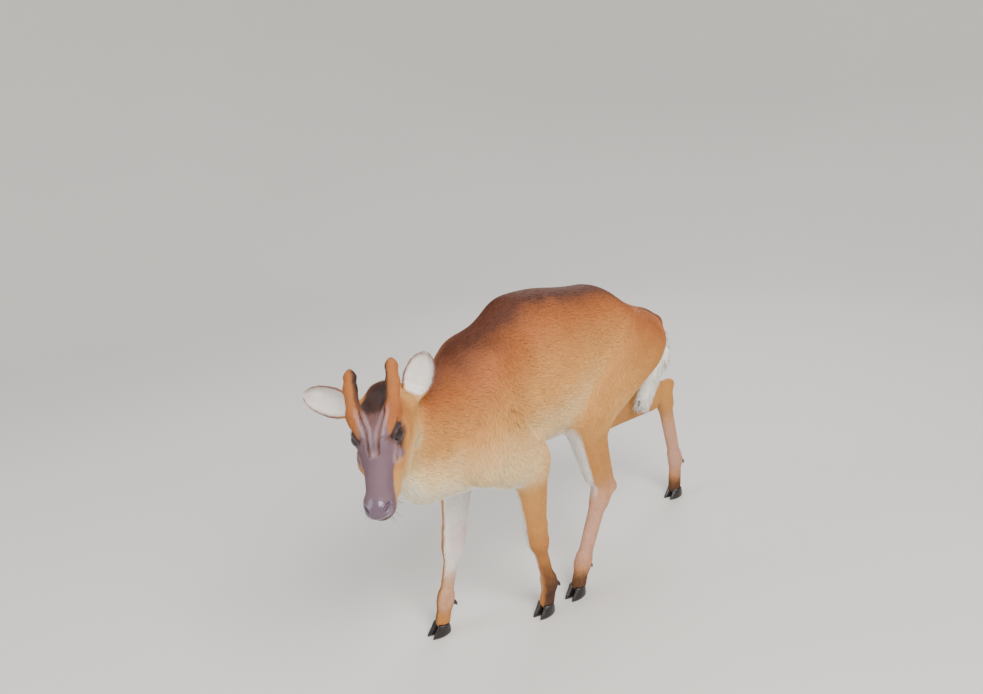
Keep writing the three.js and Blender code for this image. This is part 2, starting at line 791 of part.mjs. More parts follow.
function faceSkin(field, inset) {
  const loops = Array.from({ length: FACE_RINGS }, (_, index) => {
    const plane = headRoute(between(0, FACE_STOPS.length - 1, index / (FACE_RINGS - 1)));
    if (index === 0) {
      plane.at.addScaledVector(plane.normal, inset);
    }
    return ringAt(plane, 26, field, 120);
  });
  const tip = onHead(205, -29.3);
  tip.addScaledVector(FACE.forward, reachOf(field, tip, FACE.forward, 20));
  return skinOver(loops, middleOf(loops[0]), tip);
}

// A point on the skin of the head, looking from its middle plane along a direction
function onFace(forward, up, direction) {
  const start = onHead(forward, up);
  const look = headVector(...direction).normalize();
  return start.addScaledVector(look, reachOf(flesh, start, look, 80));
}

// Eyes and lids

const EYE_RADIUS = 13.5;
const LID_ROUND = EYE_RADIUS + 0.3;

function eyeOf(sign) {
  const centre = onHead(85, 12, sign * 26);
  const look = headVector(0.3, 0.06, sign * 0.95).normalize();
  const front = FACE.forward.clone().addScaledVector(look, -FACE.forward.dot(look)).normalize();
  const top = FACE.up.clone().addScaledVector(look, -FACE.up.dot(look));
  top.addScaledVector(front, -top.dot(front)).normalize();
  return { centre, look, front, top };
}

function ball(centre, radius, around, down) {
  const geometry = new THREE.SphereGeometry(radius, around, down);
  geometry.translate(centre.x, centre.y, centre.z);
  return manifoldOf(geometry);
}

// A lid lies on the eyeball along half of an oval from corner to corner
function lid({ centre, look, front, top }, lift) {
  const points = Array.from({ length: 7 }, (_, index) => {
    const angle = between(-0.12, Math.PI + 0.12, index / 6);
    const x = LID_ROUND * 0.93 * Math.cos(angle);
    const y = LID_ROUND * lift * Math.sin(angle);
    const out = Math.sqrt(LID_ROUND ** 2 - x * x - y * y);
    const point = centre.clone().addScaledVector(front, x).addScaledVector(top, y);
    return point.addScaledVector(look, out);
  });
  const radii = [1.5, 2.6, 3.6, 3.9, 3.6, 2.6, 1.5].map((width) => [Math.min(width, 2.3), width]);
  return tube(points, radii, 9, 6, look);
}

// Grooves are cut by thin tubes that follow the skin

const MOUTH_LINE = [[134, -42], [144, -44], [155, -45], [166, -45], [176, -44], [185, -42.5]];

function mouthGroove() {
  const sideOf = (sign) => MOUTH_LINE.map(([forward, up]) => onFace(forward, up, [0, 0, sign]));
  const points = [...sideOf(1), onFace(170, -42, [1, 0, 0]), ...sideOf(-1).reverse()];
  const radii = points.map((_, index) => {
    const edge = Math.min(index, points.length - 1 - index);
    return edge === 0 ? [0.5, 2] : [1.3, 5];
  });
  return tube(points, radii, 17, 6, FACE.up);
}

function nostril(sign) {
  const turns = [0.42, 0.68, 0.94, 1.2];
  const points = turns.map((turn, index) => {
    return onFace(181, -28 + index, [Math.cos(turn), 0, sign * Math.sin(turn)]);
  });
  return tube(points, [[2.4, 4], [3.4, 6], [2.8, 5], [1, 2.5]], 6, 8, FACE.up);
}

function tearGland(sign) {
  const points = [[106, 3], [114, -2], [122, -8]].map(([forward, up]) => {
    return onFace(forward, up, [0, 0, sign]);
  });
  return tube(points, [[1, 3], [2, 5], [0.8, 3]], 5, 6, FACE.up);
}

// Ears: a stalk that opens into a cup

const EAR_SIDES = { out: 9, in: 7 };
const EAR_ROWS = [
  { share: 0, half: 9.5, cup: 10, open: 0 },
  { share: 0.14, half: 12.5, cup: 12, open: 0.1 },
  { share: 0.24, half: 17, cup: 13.5, open: 0.8 },
  { share: 0.36, half: 21.5, cup: 14, open: 1 },
  { share: 0.5, half: 24, cup: 13.5, open: 1 },
  { share: 0.64, half: 23, cup: 12, open: 1 },
  { share: 0.78, half: 20, cup: 10, open: 1 },
  { share: 0.9, half: 14.2, cup: 7.6, open: 1 },
  { share: 0.98, half: 6.2, cup: 4.6, open: 1 },
];
const EAR_WALL = 3.2;
const EAR_RIM = 1.85; // how far round the cup its edges reach, in radians

function earOutline({ half, cup, open }) {
  const out = Array.from({ length: EAR_SIDES.out }, (_, index) => {
    const angle = between(-EAR_RIM, EAR_RIM, index / (EAR_SIDES.out - 1));
    return [half * Math.sin(angle), -cup * Math.cos(angle)];
  });
  const wall = Math.min(EAR_WALL, half * 0.5);
  const back = Array.from({ length: EAR_SIDES.in }, (_, index) => {
    const share = index / (EAR_SIDES.in - 1);
    const inside = between(1.5, -1.5, share);
    const front = between(2.1, 2 * Math.PI - 2.1, share);
    return [
      between(half * Math.sin(front), (half - wall) * Math.sin(inside), open),
      between(-cup * Math.cos(front), (wall - cup) * Math.cos(inside), open),
    ];
  });
  return [...out, ...back];
}

function ear(root, tip, look, bend) {
  const axis = tip.clone().sub(root);
  const side = look.clone().cross(axis).normalize();
  const middle = root.clone().lerp(tip, 0.5).addScaledVector(look, -bend);
  const curve = new THREE.QuadraticBezierCurve3(root, middle, tip);
  const loops = EAR_ROWS.map((row) => {
    const plane = { at: curve.getPoint(row.share), normal: curve.getTangent(row.share), side };
    return outlineRing(plane, earOutline(row));
  });
  return skinOver(loops, middleOf(loops[0]), middleOf(loops[loops.length - 1]));
}

const EARS = {
  left: ear(onHead(5, -8, 36), onHead(-43, 50, 76), headVector(0.8, 0.59, 0.1), 6),
  right: ear(onHead(5, -4, -36), onHead(-34, 18, -130), headVector(0.8, 0.59, -0.1), 6),
};

// The blunt pedicels rise from the brow and lean back
const RIGHT_PEDICEL_CUT = 7;

function pedicel(sign) {
  const points = [[84, 22, 24], [62, 38, 29.5], [28, 60, 32.5], [4, 73, 32], [-1, 76, 32]];
  // the right one is a little shorter
  const cut = sign === 1 ? 0 : RIGHT_PEDICEL_CUT;
  points.slice(-2).forEach((point) => {
    point[0] += cut * 0.88;
    point[1] -= cut * 0.48;
  });
  const radii = [[9, 9], [11, 11], [10.2, 10.2], [9, 9], [4.6, 4.6]];
  return tube(points.map(([forward, up, left]) => onHead(forward, up, sign * left)), radii, 9, 12, FACE.left);
}

let head = faceSkin(flesh, GAP / 2);
const headHollow = faceSkin(sleeve, -GAP / 2);
for (const sign of [1, -1]) {
  const eye = eyeOf(sign);
  const side = sign === 1 ? "left" : "right";
  head = head.add(lid(eye, 0.72));
  head = head.add(lid({ ...eye, top: eye.top.clone().negate() }, 0.76));
  head = head.subtract(ball(eye.centre, EYE_RADIUS + GAP, 18, 12));
  head = head.subtract(nostril(sign));
  head = head.subtract(tearGland(sign));
  add(`${side}_eye`, ball(eye.centre, EYE_RADIUS, 18, 12), finishes.eye);
  add(`${side}_ear`, EARS[side].subtract(headHollow).subtract(neckHollow), finishes.ear);
  add(`${side}_pedicel`, pedicel(sign).subtract(headHollow), finishes.pedicel);
}
add("head", head.subtract(mouthGroove()), finishes.face);

muntjac.updateMatrixWorld(true);
const box = new THREE.Box3().setFromObject(muntjac);
muntjac.position.set(-(box.min.x + box.max.x) / 2, -(box.min.y + box.max.y) / 2, 0);

export default muntjac;
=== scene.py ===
"""A muntjac buck in mid step: its skin, coat, eyes, horn and stage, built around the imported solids.

Lengths in the anatomy below are millimetres. The animal faces -Y and its left side is +X.
"""

import math

import bmesh
import bpy
import mathutils
import numpy as np
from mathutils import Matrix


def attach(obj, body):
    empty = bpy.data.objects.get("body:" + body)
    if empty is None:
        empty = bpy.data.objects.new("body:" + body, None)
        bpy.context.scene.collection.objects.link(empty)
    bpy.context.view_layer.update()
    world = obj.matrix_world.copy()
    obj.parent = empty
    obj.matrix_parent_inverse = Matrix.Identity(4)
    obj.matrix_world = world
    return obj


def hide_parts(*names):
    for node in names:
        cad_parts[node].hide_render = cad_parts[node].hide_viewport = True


bl_info = {
    "name": "Muntjac",
    "version": (1, 0, 0),
    "blender": (4, 5, 0),
    "location": "View3D > Sidebar > Muntjac",
    "description": "Builds the skin, coat, eyes and hooves of a life-size muntjac",
    "category": "Object",
}

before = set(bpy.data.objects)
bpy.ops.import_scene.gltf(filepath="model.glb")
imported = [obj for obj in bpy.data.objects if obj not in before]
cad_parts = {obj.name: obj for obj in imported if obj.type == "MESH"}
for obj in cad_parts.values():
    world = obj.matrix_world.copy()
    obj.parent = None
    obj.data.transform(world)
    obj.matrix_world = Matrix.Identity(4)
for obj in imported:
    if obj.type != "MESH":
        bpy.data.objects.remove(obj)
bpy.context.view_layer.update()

# Frame and numbers


def point(x, y, z):
    return np.array((x, y, z), float)


LEFT = point(1, 0, 0)
UP = point(0, 0, 1)
CENTRING = point(-30.1385, 41.3595, 0)
MM = 0.001
FAR = 1e6
TINY = 1e-9
SIDES = {1: "left", -1: "right"}


def to_frame(points):
    return (np.asarray(points) + CENTRING) * MM


def unit(vectors):
    vectors = np.asarray(vectors, float)
    return vectors / np.maximum(np.linalg.norm(vectors, axis=-1, keepdims=True), TINY)


def lerp(a, b, share):
    return a + (b - a) * share


def ease(low, high, value):
    """0 up to low and 1 from high on, with a smooth step between, either way round."""
    share = np.clip((np.asarray(value, float) - low) / (high - low), 0, 1)
    return share * share * (3 - 2 * share)


def turned(vector, axis, angle):
    cross = np.cross(axis, vector)
    return vector * math.cos(angle) + cross * math.sin(angle) + axis * (axis @ vector) * (1 - math.cos(angle))


# Where the joints are in this pose

NECK_ROOT = point(0, -222, 430)
NECK_MIDDLE = point(10, -318, 434)
POLL = point(27, -398, 488)
TAIL_ROOT = point(0, 308, 433)
FORELEGS = {
    1: [(60, -226, 345), (60, -133, 302), (57, -126, 162), (54, -98, 54), (54, -114, 0)],
    -1: [(-60, -238, 345), (-59, -190, 298), (-55, -222, 156), (-51, -258, 54), (-50, -276, 0)],
}
HINDLEGS = {
    1: [(52, 196, 434), (66, 30, 360), (56, 57, 180), (60, -13, 56), (59, -33, 0)],
    -1: [(-52, 204, 434), (-68, 190, 290), (-52, 402, 243), (-46, 431, 82), (-44, 420, 0)],
}
HOOF_TOP = 20.5

HEAD_TURN = math.radians(43)
HEAD_BOW = math.radians(21)
HEAD_ROLL = math.radians(8)


def head_axes():
    forward = point(
        math.sin(HEAD_TURN) * math.cos(HEAD_BOW),
        -math.cos(HEAD_TURN) * math.cos(HEAD_BOW),
        -math.sin(HEAD_BOW),
    )
    level = point(math.cos(HEAD_TURN), math.sin(HEAD_TURN), 0)
    upward = np.cross(forward, level)
    return np.array([forward, turned(upward, forward, HEAD_ROLL), turned(level, forward, HEAD_ROLL)])


FACE = head_axes()


def head_vector(forward, up, left):
    return np.array([forward, up, left], float) @ FACE


def on_head(forward, up, left=0.0):
    return POLL + head_vector(forward, up, left)


def head_places(points):
    """Forward, up and left of the poll for every point."""
    return (points - POLL) @ FACE.T


# The field: oval masses that taper from one point to another, melted together
# A row of a mass: start, end, half width and half depth at the start and at the end, softness of the join


class Mass:
    """An oval mass, the coat that it carries and the way that its hair lies."""

    def __init__(self, start, end, start_radii, end_radii, soft, group, side=LEFT, lie=1):
        self.start = np.asarray(start, float)
        span = np.asarray(end, float) - self.start
        self.length = float(np.linalg.norm(span))
        self.axis = span / self.length
        self.across = unit(side - self.axis * (side @ self.axis))
        self.deep = np.cross(self.axis, self.across)
        self.start_radii = start_radii
        self.end_radii = end_radii
        self.soft = soft
        self.group = group
        self.lie = self.axis * lie
        self.middle = self.start + span / 2
        self.reach = max(*start_radii, *end_radii) + self.length / 2

    def measure(self, points):
        """Distance to the mass, share of the way along it and angle about it."""
        offset = points - self.start
        along = offset @ self.axis
        inside = np.clip(along, 0, self.length)
        share = inside / self.length
        wide = lerp(self.start_radii[0], self.end_radii[0], share)
        deep = lerp(self.start_radii[1], self.end_radii[1], share)
        cap = (wide + deep) / 2
        a = offset @ self.across / wide
        d = offset @ self.deep / deep
        e = (along - inside) / cap
        size = np.sqrt(a * a + d * d + e * e)
        slope = np.sqrt((a / wide) ** 2 + (d / deep) ** 2 + (e / cap) ** 2)
        at_centre = slope < TINY
        elsewhere = size * (size - 1) / np.maximum(slope, TINY)
        distance = np.where(at_centre, -np.minimum(wide, deep), elsewhere)
        return distance, share, np.arctan2(d, a)


def melt(a, b, soft):
    """The lesser of two distances, rounded where they are close."""
    near = np.maximum(soft - np.abs(a - b), 0) / soft
    return np.minimum(a, b) - near * near * soft / 4


def field(masses, points):
    """Distance from each point to the melted surface of the masses, negative inside."""
    distance = np.full(len(points), FAR)
    for piece in masses:
        far = np.linalg.norm(points - piece.middle, axis=1) - piece.reach
        near = np.nonzero(far < distance + piece.soft)[0]
        if len(near):
            distance[near] = melt(distance[near], piece.measure(points[near])[0], piece.soft)
    return distance


TRUNK_SOFT = 36


def trunk_masses():
    rows = [
        ((0, -170, 420), (0, -40, 438), (74, 115), (84, 131), TRUNK_SOFT),
        ((0, -40, 434), (0, 125, 448), (83, 122), (72, 91), TRUNK_SOFT),
        ((0, -70, 508), (0, 92, 498), (52, 70), (56, 60), TRUNK_SOFT),
        ((0, 130, 446), (0, 252, 426), (66, 70), (52, 49), TRUNK_SOFT),
        ((0, -196, 486), (0, -105, 534), (28, 40), (32, 44), TRUNK_SOFT),
        ((8, -322, 350), (2, -165, 342), (46, 62), (54, 74), TRUNK_SOFT),
        ((0, 250, 446), TAIL_ROOT, (28, 30), (17, 17), 22),
    ]
    return [Mass(*row, "trunk") for row in rows]


def neck_masses():
    rows = [
        (NECK_ROOT, NECK_MIDDLE, (58, 86), (42, 60), TRUNK_SOFT),
        (NECK_MIDDLE, on_head(-4, -18), (42, 60), (37, 42), 24),
        ((8, -312, 392), on_head(14, -42), (32, 40), (22, 22), 30),
    ]
    return [Mass(*row, "neck", lie=-1) for row in rows]


def stop_on(a, b, share, backward=0.0):
    """A point on the way from a to b, moved backward across the leg."""
    a, b = np.asarray(a, float), np.asarray(b, float)
    front = unit(np.cross(unit(b - a), LEFT))
    return lerp(a, b, share) - front * backward


def ankle_of(fetlock, toe):
    return stop_on(fetlock, toe, 1 - HOOF_TOP / fetlock[2])


def foreleg_masses(sign):
    shoulder, elbow, carpus, fetlock, toe = (np.array(at, float) for at in FORELEGS[sign])
    blade = point(sign * 40, shoulder[1] + 66, 490)
    armpit = point(sign * 36, shoulder[1] + 50, 340), point(sign * 44, elbow[1] + 16, 324)
    upper = [
        (blade, shoulder, (21, 40), (30, 46), 34),
        (shoulder, elbow, (31, 40), (25, 30), 34),
        (stop_on(shoulder, elbow, 0.5), elbow, (26, 42), (22, 24), 34),
        (*armpit, (26, 26), (20, 20), 34),
    ]
    lower = [
        (elbow, stop_on(elbow, carpus, 0.82), (28, 38), (18, 23), 18),
        (stop_on(elbow, carpus, 0.9), stop_on(carpus, fetlock, 0.08), (19, 21.5), (18.5, 20.5), 12),
        (carpus, stop_on(carpus, fetlock, 0.2, 4), (15, 17), (12, 14), 12),
        (stop_on(carpus, fetlock, 0.1), stop_on(carpus, fetlock, 0.85), (12, 14), (11, 12.5), 12),
        (stop_on(carpus, fetlock, 0.92), fetlock, (14.5, 15.5), (14, 15), 9),
        (fetlock, ankle_of(fetlock, toe), (12.5, 13.5), (13.5, 13.5), 9),
    ]
    at_trunk = [Mass(*row, "shoulder") for row in upper]
    return at_trunk + [Mass(*row, f"{SIDES[sign]}_fore") for row in lower]


def hindleg_masses(sign):
    hip, stifle, hock, fetlock, toe = (np.array(at, float) for at in HINDLEGS[sign])
    seat = point(sign * 38, hip[1] + 38, 424)
    heel = stop_on(hock, fetlock, -0.08, 26)
    shin_top = stop_on(stifle, hock, 0.06, -28) - LEFT * sign * 15
    shin_end = stop_on(stifle, hock, 0.8, -13) - LEFT * sign * 8
    upper = [
        (hip, stifle, (36, 66), (30, 46), 30),
        (seat, stop_on(stifle, hock, 0.22, 15), (30, 38), (18, 20), 30),
        (stifle, stop_on(stifle, hock, 0.12, -10), (28, 38), (28, 46), 20),
    ]
    lower = [
        (stop_on(stifle, hock, 0.06, -15), stop_on(stifle, hock, 0.76, -6), (28, 44), (16, 21), 16),
        (shin_top, shin_end, (24, 31), (13, 16.5), 16),
        (stop_on(stifle, hock, 0.4, 16), heel, (8, 12), (8.5, 9), 16),
        (stop_on(stifle, hock, 0.88), stop_on(hock, fetlock, 0.14), (15, 18), (14, 16), 13),
        (heel, stop_on(hock, fetlock, 0.12, 10), (9.5, 10), (12, 12), 12),
        (hock, stop_on(hock, fetlock, 0.88), (15, 17), (12.5, 14), 12),
        (stop_on(hock, fetlock, 0.93), fetlock, (14.5, 16), (14.5, 15.5), 9),
        (fetlock, ankle_of(fetlock, toe), (13, 14), (13.5, 14), 9),
    ]
    at_trunk = [Mass(*row, "haunch") for row in upper]
    return at_trunk + [Mass(*row, f"{SIDES[sign]}_hind") for row in lower]


def flank_folds():
    left = Mass((58, -30, 376), HINDLEGS[1][1], (9, 18), (16, 24), 34, "haunch")
    right = Mass((-58, 60, 372), (-66, 165, 312), (9, 18), (16, 24), 34, "haunch")
    return [left, right]


def head_masses():
    middle = [
        ((6, -8, 0), (52, 6, 0), (38, 38), (38, 34), 16),
        ((52, 4, 0), (100, -2, 0), (37, 33), (27, 29), 16),
        ((100, -4, 0), (187, -24, 0), (24, 25), (15, 15), 14),
        ((181, -23, 0), (193, -27, 0), (21, 13), (18, 12), 8),
        ((24, -44, 0), (130, -48, 0), (30, 26), (21, 17), 14),
        ((130, -48, 0), (180, -48, 0), (19, 15), (13, 9.5), 10),
    ]
    sides = [
        ((72, 14, 24), (100, 8, 23), (13.5, 17), (11, 14), 10),
        ((46, -6, 31), (112, -16, 24), (13, 14), (10, 10), 12),
        ((34, -32, 22), (92, -40, 19), (18, 30), (14, 23), 14),
        ((112, 12, 12), (60, 34, 27), (6, 6), (11, 10), 10),
        ((14, 0, 28), (8, 0, 37), (15, 18), (13, 15), 12),
        ((112, -30, 13), (182, -37, 11), (14, 14), (9.5, 9.5), 12),
    ]
    rows = list(middle)
    for sign in SIDES:
        for start, end, *sizes in sides:
            rows.append(((*start[:2], start[2] * sign), (*end[:2], end[2] * sign), *sizes))
    return [
        Mass(on_head(*start), on_head(*end), *sizes, "head", side=FACE[2], lie=-1)
        for start, end, *sizes in rows
    ]


PEDICEL_POINTS = [(84, 22, 24), (62, 38, 29.5), (28, 60, 32.5), (4, 73, 32), (-1, 76, 32)]
PEDICEL_RADII = [8.6, 10.6, 9.9, 8.8, 4.6]
PEDICEL_DOWN = (0.88, -0.48, 0)
RIGHT_PEDICEL_CUT = 7


def pedicel_masses():
    pieces = []
    for sign in SIDES:
        stops = [on_head(forward, up, sign * left) for forward, up, left in PEDICEL_POINTS]
        if sign < 0:
            shorter = head_vector(*(RIGHT_PEDICEL_CUT * part for part in PEDICEL_DOWN))
            stops[-2:] = [stop + shorter for stop in stops[-2:]]
        for index in range(len(stops) - 1):
            wide, narrow = PEDICEL_RADII[index], PEDICEL_RADII[index + 1]
            soft = 12 if index == 0 else 6
            radii = (wide, wide), (narrow, narrow)
            pieces.append(Mass(stops[index], stops[index + 1], *radii, soft, "pedicel", side=FACE[2]))
    return pieces


TAIL_BEND = point(1, 325, 374)
TAIL_TIP = point(5, 262, 290)


def tail_masses():
    rows = [
        ((0, 304, 434), (0, 325, 402), (15, 15), (15, 12), 16),
        ((0, 325, 402), TAIL_BEND, (15, 12), (18, 12), 12),
        (TAIL_BEND, TAIL_TIP, (18, 12), (14, 8), 14),
    ]
    return [Mass(*row, "tail") for row in rows]


FLESH = [
    *trunk_masses(),
    *neck_masses(),
    *head_masses(),
    *foreleg_masses(1),
    *foreleg_masses(-1),
    *hindleg_masses(1),
    *hindleg_masses(-1),
    *flank_folds(),
    *pedicel_masses(),
    *tail_masses(),
]
GROUPS = sorted({piece.group for piece in FLESH})

# Coat of each group: depth over the skin, length and width of a tuft, and the space between roots
COATS = {
    "trunk": (1.9, 15.0, 1.4, 2.15),
    "shoulder": (1.9, 14.0, 1.35, 2.1),
    "haunch": (1.8, 13.5, 1.35, 2.1),
    "neck": (1.9, 14.5, 1.4, 2.0),
    "head": (0.75, 4.6, 0.74, 1.36),
    "pedicel": (0.8, 6.0, 0.84, 1.36),
    "tail": (1.6, 18.0, 1.5, 1.8),
    **{f"{side}_{part}": (1.0, 8.0, 1.0, 1.65) for side in SIDES.values() for part in ("fore", "hind")},
}
# How far a mass is heard from its surface, and how quickly its voice fades
SURVEY_REACH = 45
SURVEY_BLEND = 6


class Survey:
    """What the masses near each point say: lie of the hair, coat, groups, and nearest mass as a chart."""

    def __init__(self, points):
        count = len(points)
        self.lie = np.zeros((count, 3))
        self.coat = np.zeros((count, 4))
        self.groups = {name: np.zeros(count) for name in GROUPS}
        self.chart = np.zeros(count, int)
        self.share = np.zeros(count)
        self.angle = np.zeros(count)
        nearest = np.full(count, FAR)
        total = np.zeros(count)
        for index, piece in enumerate(FLESH):
            far = np.linalg.norm(points - piece.middle, axis=1) - piece.reach
            near = np.nonzero(far < SURVEY_REACH)[0]
            if not len(near):
                continue
            distance, share, angle = piece.measure(points[near])
            weight = np.exp(-np.clip(distance, -20, 60) / SURVEY_BLEND)
            self.lie[near] += weight[:, None] * piece.lie
            self.coat[near] += weight[:, None] * np.array(COATS[piece.group])
            self.groups[piece.group][near] += weight
            total[near] += weight
            closer = distance < nearest[near]
            rows = near[closer]
            nearest[rows] = distance[closer]
            self.chart[rows] = index
            self.share[rows] = share[closer]
            self.angle[rows] = angle[closer]
        total = np.maximum(total, TINY)
        self.coat /= total[:, None]
        self.lie /= total[:, None]
        for name in GROUPS:
            self.groups[name] /= total

    def head_share(self):
        return self.groups["head"] + self.groups["pedicel"]


# Meshing the skin

NET_CELL = 5.0
COARSE = 4
NEAR_CELLS = 1.6
RELAX_TURNS = 4
SETTLE_TURNS = 2


def net_values(masses, low, counts, cell):
    """The field on a grid, worked out in full only near the surface."""
    coarse_counts = (counts + COARSE - 1) // COARSE + 1
    axes = [np.arange(count) * cell * COARSE + low[axis] for axis, count in enumerate(coarse_counts)]
    grid = np.stack(np.meshgrid(*axes, indexing="ij"), -1).reshape(-1, 3)
    coarse = field(masses, grid).reshape(coarse_counts)
    index = [
        np.minimum((np.arange(count) + COARSE // 2) // COARSE, coarse_counts[axis] - 1)
        for axis, count in enumerate(counts)
    ]
    values = coarse[np.ix_(*index)].copy()
    near = np.abs(values) < cell * COARSE * NEAR_CELLS
    places = np.argwhere(near)
    values[near] = field(masses, places * cell + low)
    return values


def net_over(masses, low, high, cell):
    """Surface nets: one corner in each cell that the surface crosses, one quad on each crossed edge."""
    counts = np.ceil((high - low) / cell).astype(int) + 1
    values = net_values(masses, low, counts, cell)
    inside = values < 0
    strides = np.array([counts[1] * counts[2], counts[2], 1])
    sums = np.zeros((values.size, 3))
    hits = np.zeros(values.size)
    quads = []
    for axis in range(3):
        step = np.zeros(3, int)
        step[axis] = 1
        here = [slice(None)] * 3
        there = [slice(None)] * 3
        here[axis] = slice(0, -1)
        there[axis] = slice(1, None)
        places = np.argwhere(inside[tuple(here)] != inside[tuple(there)])
        a = values[tuple(places.T)]
        b = values[tuple((places + step).T)]
        crossing = places + step * (a / (a - b))[:, None]
        u = np.roll(step, 1)
        w = np.roll(step, 2)
        ring = [(places - p * u - q * w) @ strides for p, q in ((0, 0), (1, 0), (1, 1), (0, 1))]
        for cells in ring:
            np.add.at(sums, cells, crossing)
            np.add.at(hits, cells, 1)
        quad = np.stack(ring, 1)
        outward = a < 0
        quads.append(np.where(outward[:, None], quad, quad[:, ::-1]))
    quads = np.concatenate(quads)
    used = np.nonzero(hits)[0]
    number = np.full(values.size, -1)
    number[used] = np.arange(len(used))
    corners = sums[used] / hits[used][:, None] * cell + low
    return corners, number[quads]


def slope_of(masses, points, step=0.4):
    """Gradient of the field from four samples round each point."""
    slope = np.zeros((len(points), 3))
    for corner in ((1, 1, 1), (1, -1, -1), (-1, 1, -1), (-1, -1, 1)):
        corner = np.array(corner, float)
        slope += field(masses, points + corner * step)[:, None] * corner
    return slope / (4 * step)


def settle(points, limit):
    """Moves the points onto the skin, which lies inside the flesh by the depth of the coat."""
    depth = Survey(points).coat[:, 0]
    for _ in range(SETTLE_TURNS):
        slope = slope_of(FLESH, points)
        gap = field(FLESH, points) + depth
        step = -gap / np.maximum((slope**2).sum(1), 0.2)
        points = points + slope * np.clip(step, -limit, limit)[:, None]
    return points


def relax(points, faces):
    """Evens out the net: every corner moves towards the middle of its neighbours."""
    edges = np.concatenate([faces[:, [k, (k + 1) % 4]] for k in range(4)])
    edges = np.unique(np.sort(edges, axis=1), axis=0)
    counts = np.bincount(edges.ravel(), minlength=len(points))[:, None]
    for _ in range(RELAX_TURNS):
        total = np.zeros_like(points)
        np.add.at(total, edges[:, 0], points[edges[:, 1]])
        np.add.at(total, edges[:, 1], points[edges[:, 0]])
        points = lerp(points, total / counts, 0.5)
    return points


def new_mesh(name, points, faces):
    mesh = bpy.data.meshes.new(name)
    mesh.from_pydata(points.tolist(), [], [list(face) for face in faces])
    mesh.update()
    return mesh


def ring_faces(rows, sides, flip=False):
    """Quads between closed rings of equal count."""
    faces = []
    for row in range(rows - 1):
        for side in range(sides):
            a = row * sides + side
            b = row * sides + (side + 1) % sides
            face = (a, b, b + sides, a + sides)
            faces.append(face[::-1] if flip else face)
    return faces


def read_vertices(mesh, key):
    vectors = np.empty(len(mesh.vertices) * 3, np.float32)
    mesh.vertices.foreach_get(key, vectors)
    return vectors.reshape(-1, 3).astype(float)


def mesh_points(mesh):
    return read_vertices(mesh, "co")


def mesh_normals(mesh):
    return read_vertices(mesh, "normal")


def set_mesh_points(mesh, points):
    mesh.vertices.foreach_set("co", np.ascontiguousarray(points, np.float32).ravel())
    mesh.update()


def refine(mesh, chosen):
    """Splits every edge whose two ends are chosen."""
    work = bmesh.new()
    work.from_mesh(mesh)
    edges = [edge for edge in work.edges if chosen[edge.verts[0].index] and chosen[edge.verts[1].index]]
    bmesh.ops.subdivide_edges(work, edges=edges, cuts=1, use_grid_fill=True)
    work.to_mesh(mesh)
    work.free()


# Eyes and what lies round them

EYE_PLACE = (85, 12, 26)
EYE_LOOK = (0.3, 0.06, 0.95)
EYE_RADIUS = 13.5
LID_LONG = math.radians(66)
LID_HIGH = math.radians(45)
LID_LOW = math.radians(47)


def on_sphere(away, around):
    """Points of a sphere of radius 1, by their angle from its pole and their turn about it."""
    return np.stack([np.sin(away) * np.cos(around), np.sin(away) * np.sin(around), np.cos(away)], -1)


class Socket:
    """Axes of one eye: its front corner, its upper lid and where it looks."""

    def __init__(self, sign):
        self.sign = sign
        mirror = point(1, 1, sign)
        self.centre = on_head(*mirror * EYE_PLACE)
        look = unit(head_vector(*mirror * EYE_LOOK))
        front = unit(FACE[0] - look * (FACE[0] @ look))
        top = FACE[1] - look * (FACE[1] @ look)
        top = unit(top - front * (top @ front))
        self.axes = np.array([front, top, look])

    def polar(self, points):
        """Distance from the centre, and how far each point is from the look, in lid openings."""
        places = (points - self.centre) @ self.axes.T
        distance = np.linalg.norm(places, axis=1)
        away = np.arccos(np.clip(places[:, 2] / np.maximum(distance, 1e-6), -1, 1))
        around = np.arctan2(places[:, 1], places[:, 0])
        return distance, away / self.opening(around)

    @staticmethod
    def opening(around):
        tall = np.where(np.sin(around) > 0, LID_HIGH, LID_LOW)
        oval = 1 / np.sqrt((np.cos(around) / LID_LONG) ** 2 + (np.sin(around) / tall) ** 2)
        return oval * (1 + 0.1 * np.cos(around) ** 8)

    def at(self, around, openings, distance):
        away = self.opening(around) * openings
        return self.centre + (on_sphere(away, around) * np.asarray(distance)[..., None]) @ self.axes


SOCKETS = [Socket(sign) for sign in SIDES]

# Lines on the face, as forward, up and left of the poll on the left side

MOUTH_LINE = [(132, -41), (144, -44), (155, -45), (166, -45), (176, -44), (186, -42.5)]
GLAND_LINE = [(64, 45, 21), (79, 37, 16.5), (93, 31, 10.5), (112, 25, 8.2), (127, 15, 7.2)]
TEAR_LINE = [(103, 12, 33), (109, 6, 31), (115, -1, 28.5), (120, -7, 26)]
NOSTRIL_LINE = [(200, -26.5, 6.5), (198.5, -22.5, 11.5), (193, -20.5, 16), (186, -22, 19)]
NOSTRIL_RADII = [2.3, 3.4, 2.7, 1.3]


def on_face(forward, up, direction):
    """The point of the flesh that is met from the middle of the head along a direction."""
    start = on_head(forward, up)
    look = unit(head_vector(*direction))
    reaches = np.arange(0, 80, 0.25)
    values = field(FLESH, start + reaches[:, None] * look)
    return start + look * reaches[np.argmax(values > 0)]


def mouth_stops():
    """Stops of the mouth, from its left corner round the front to its right one."""
    left = [on_face(forward, up, (0, 0, 1)) for forward, up in MOUTH_LINE]
    right = [on_face(forward, up, (0, 0, -1)) for forward, up in MOUTH_LINE]
    front = [on_face(176, -42, (1, 0, aside)) for aside in (0.55, 0, -0.55)]
    return np.array([*left, *front, *right[::-1]])


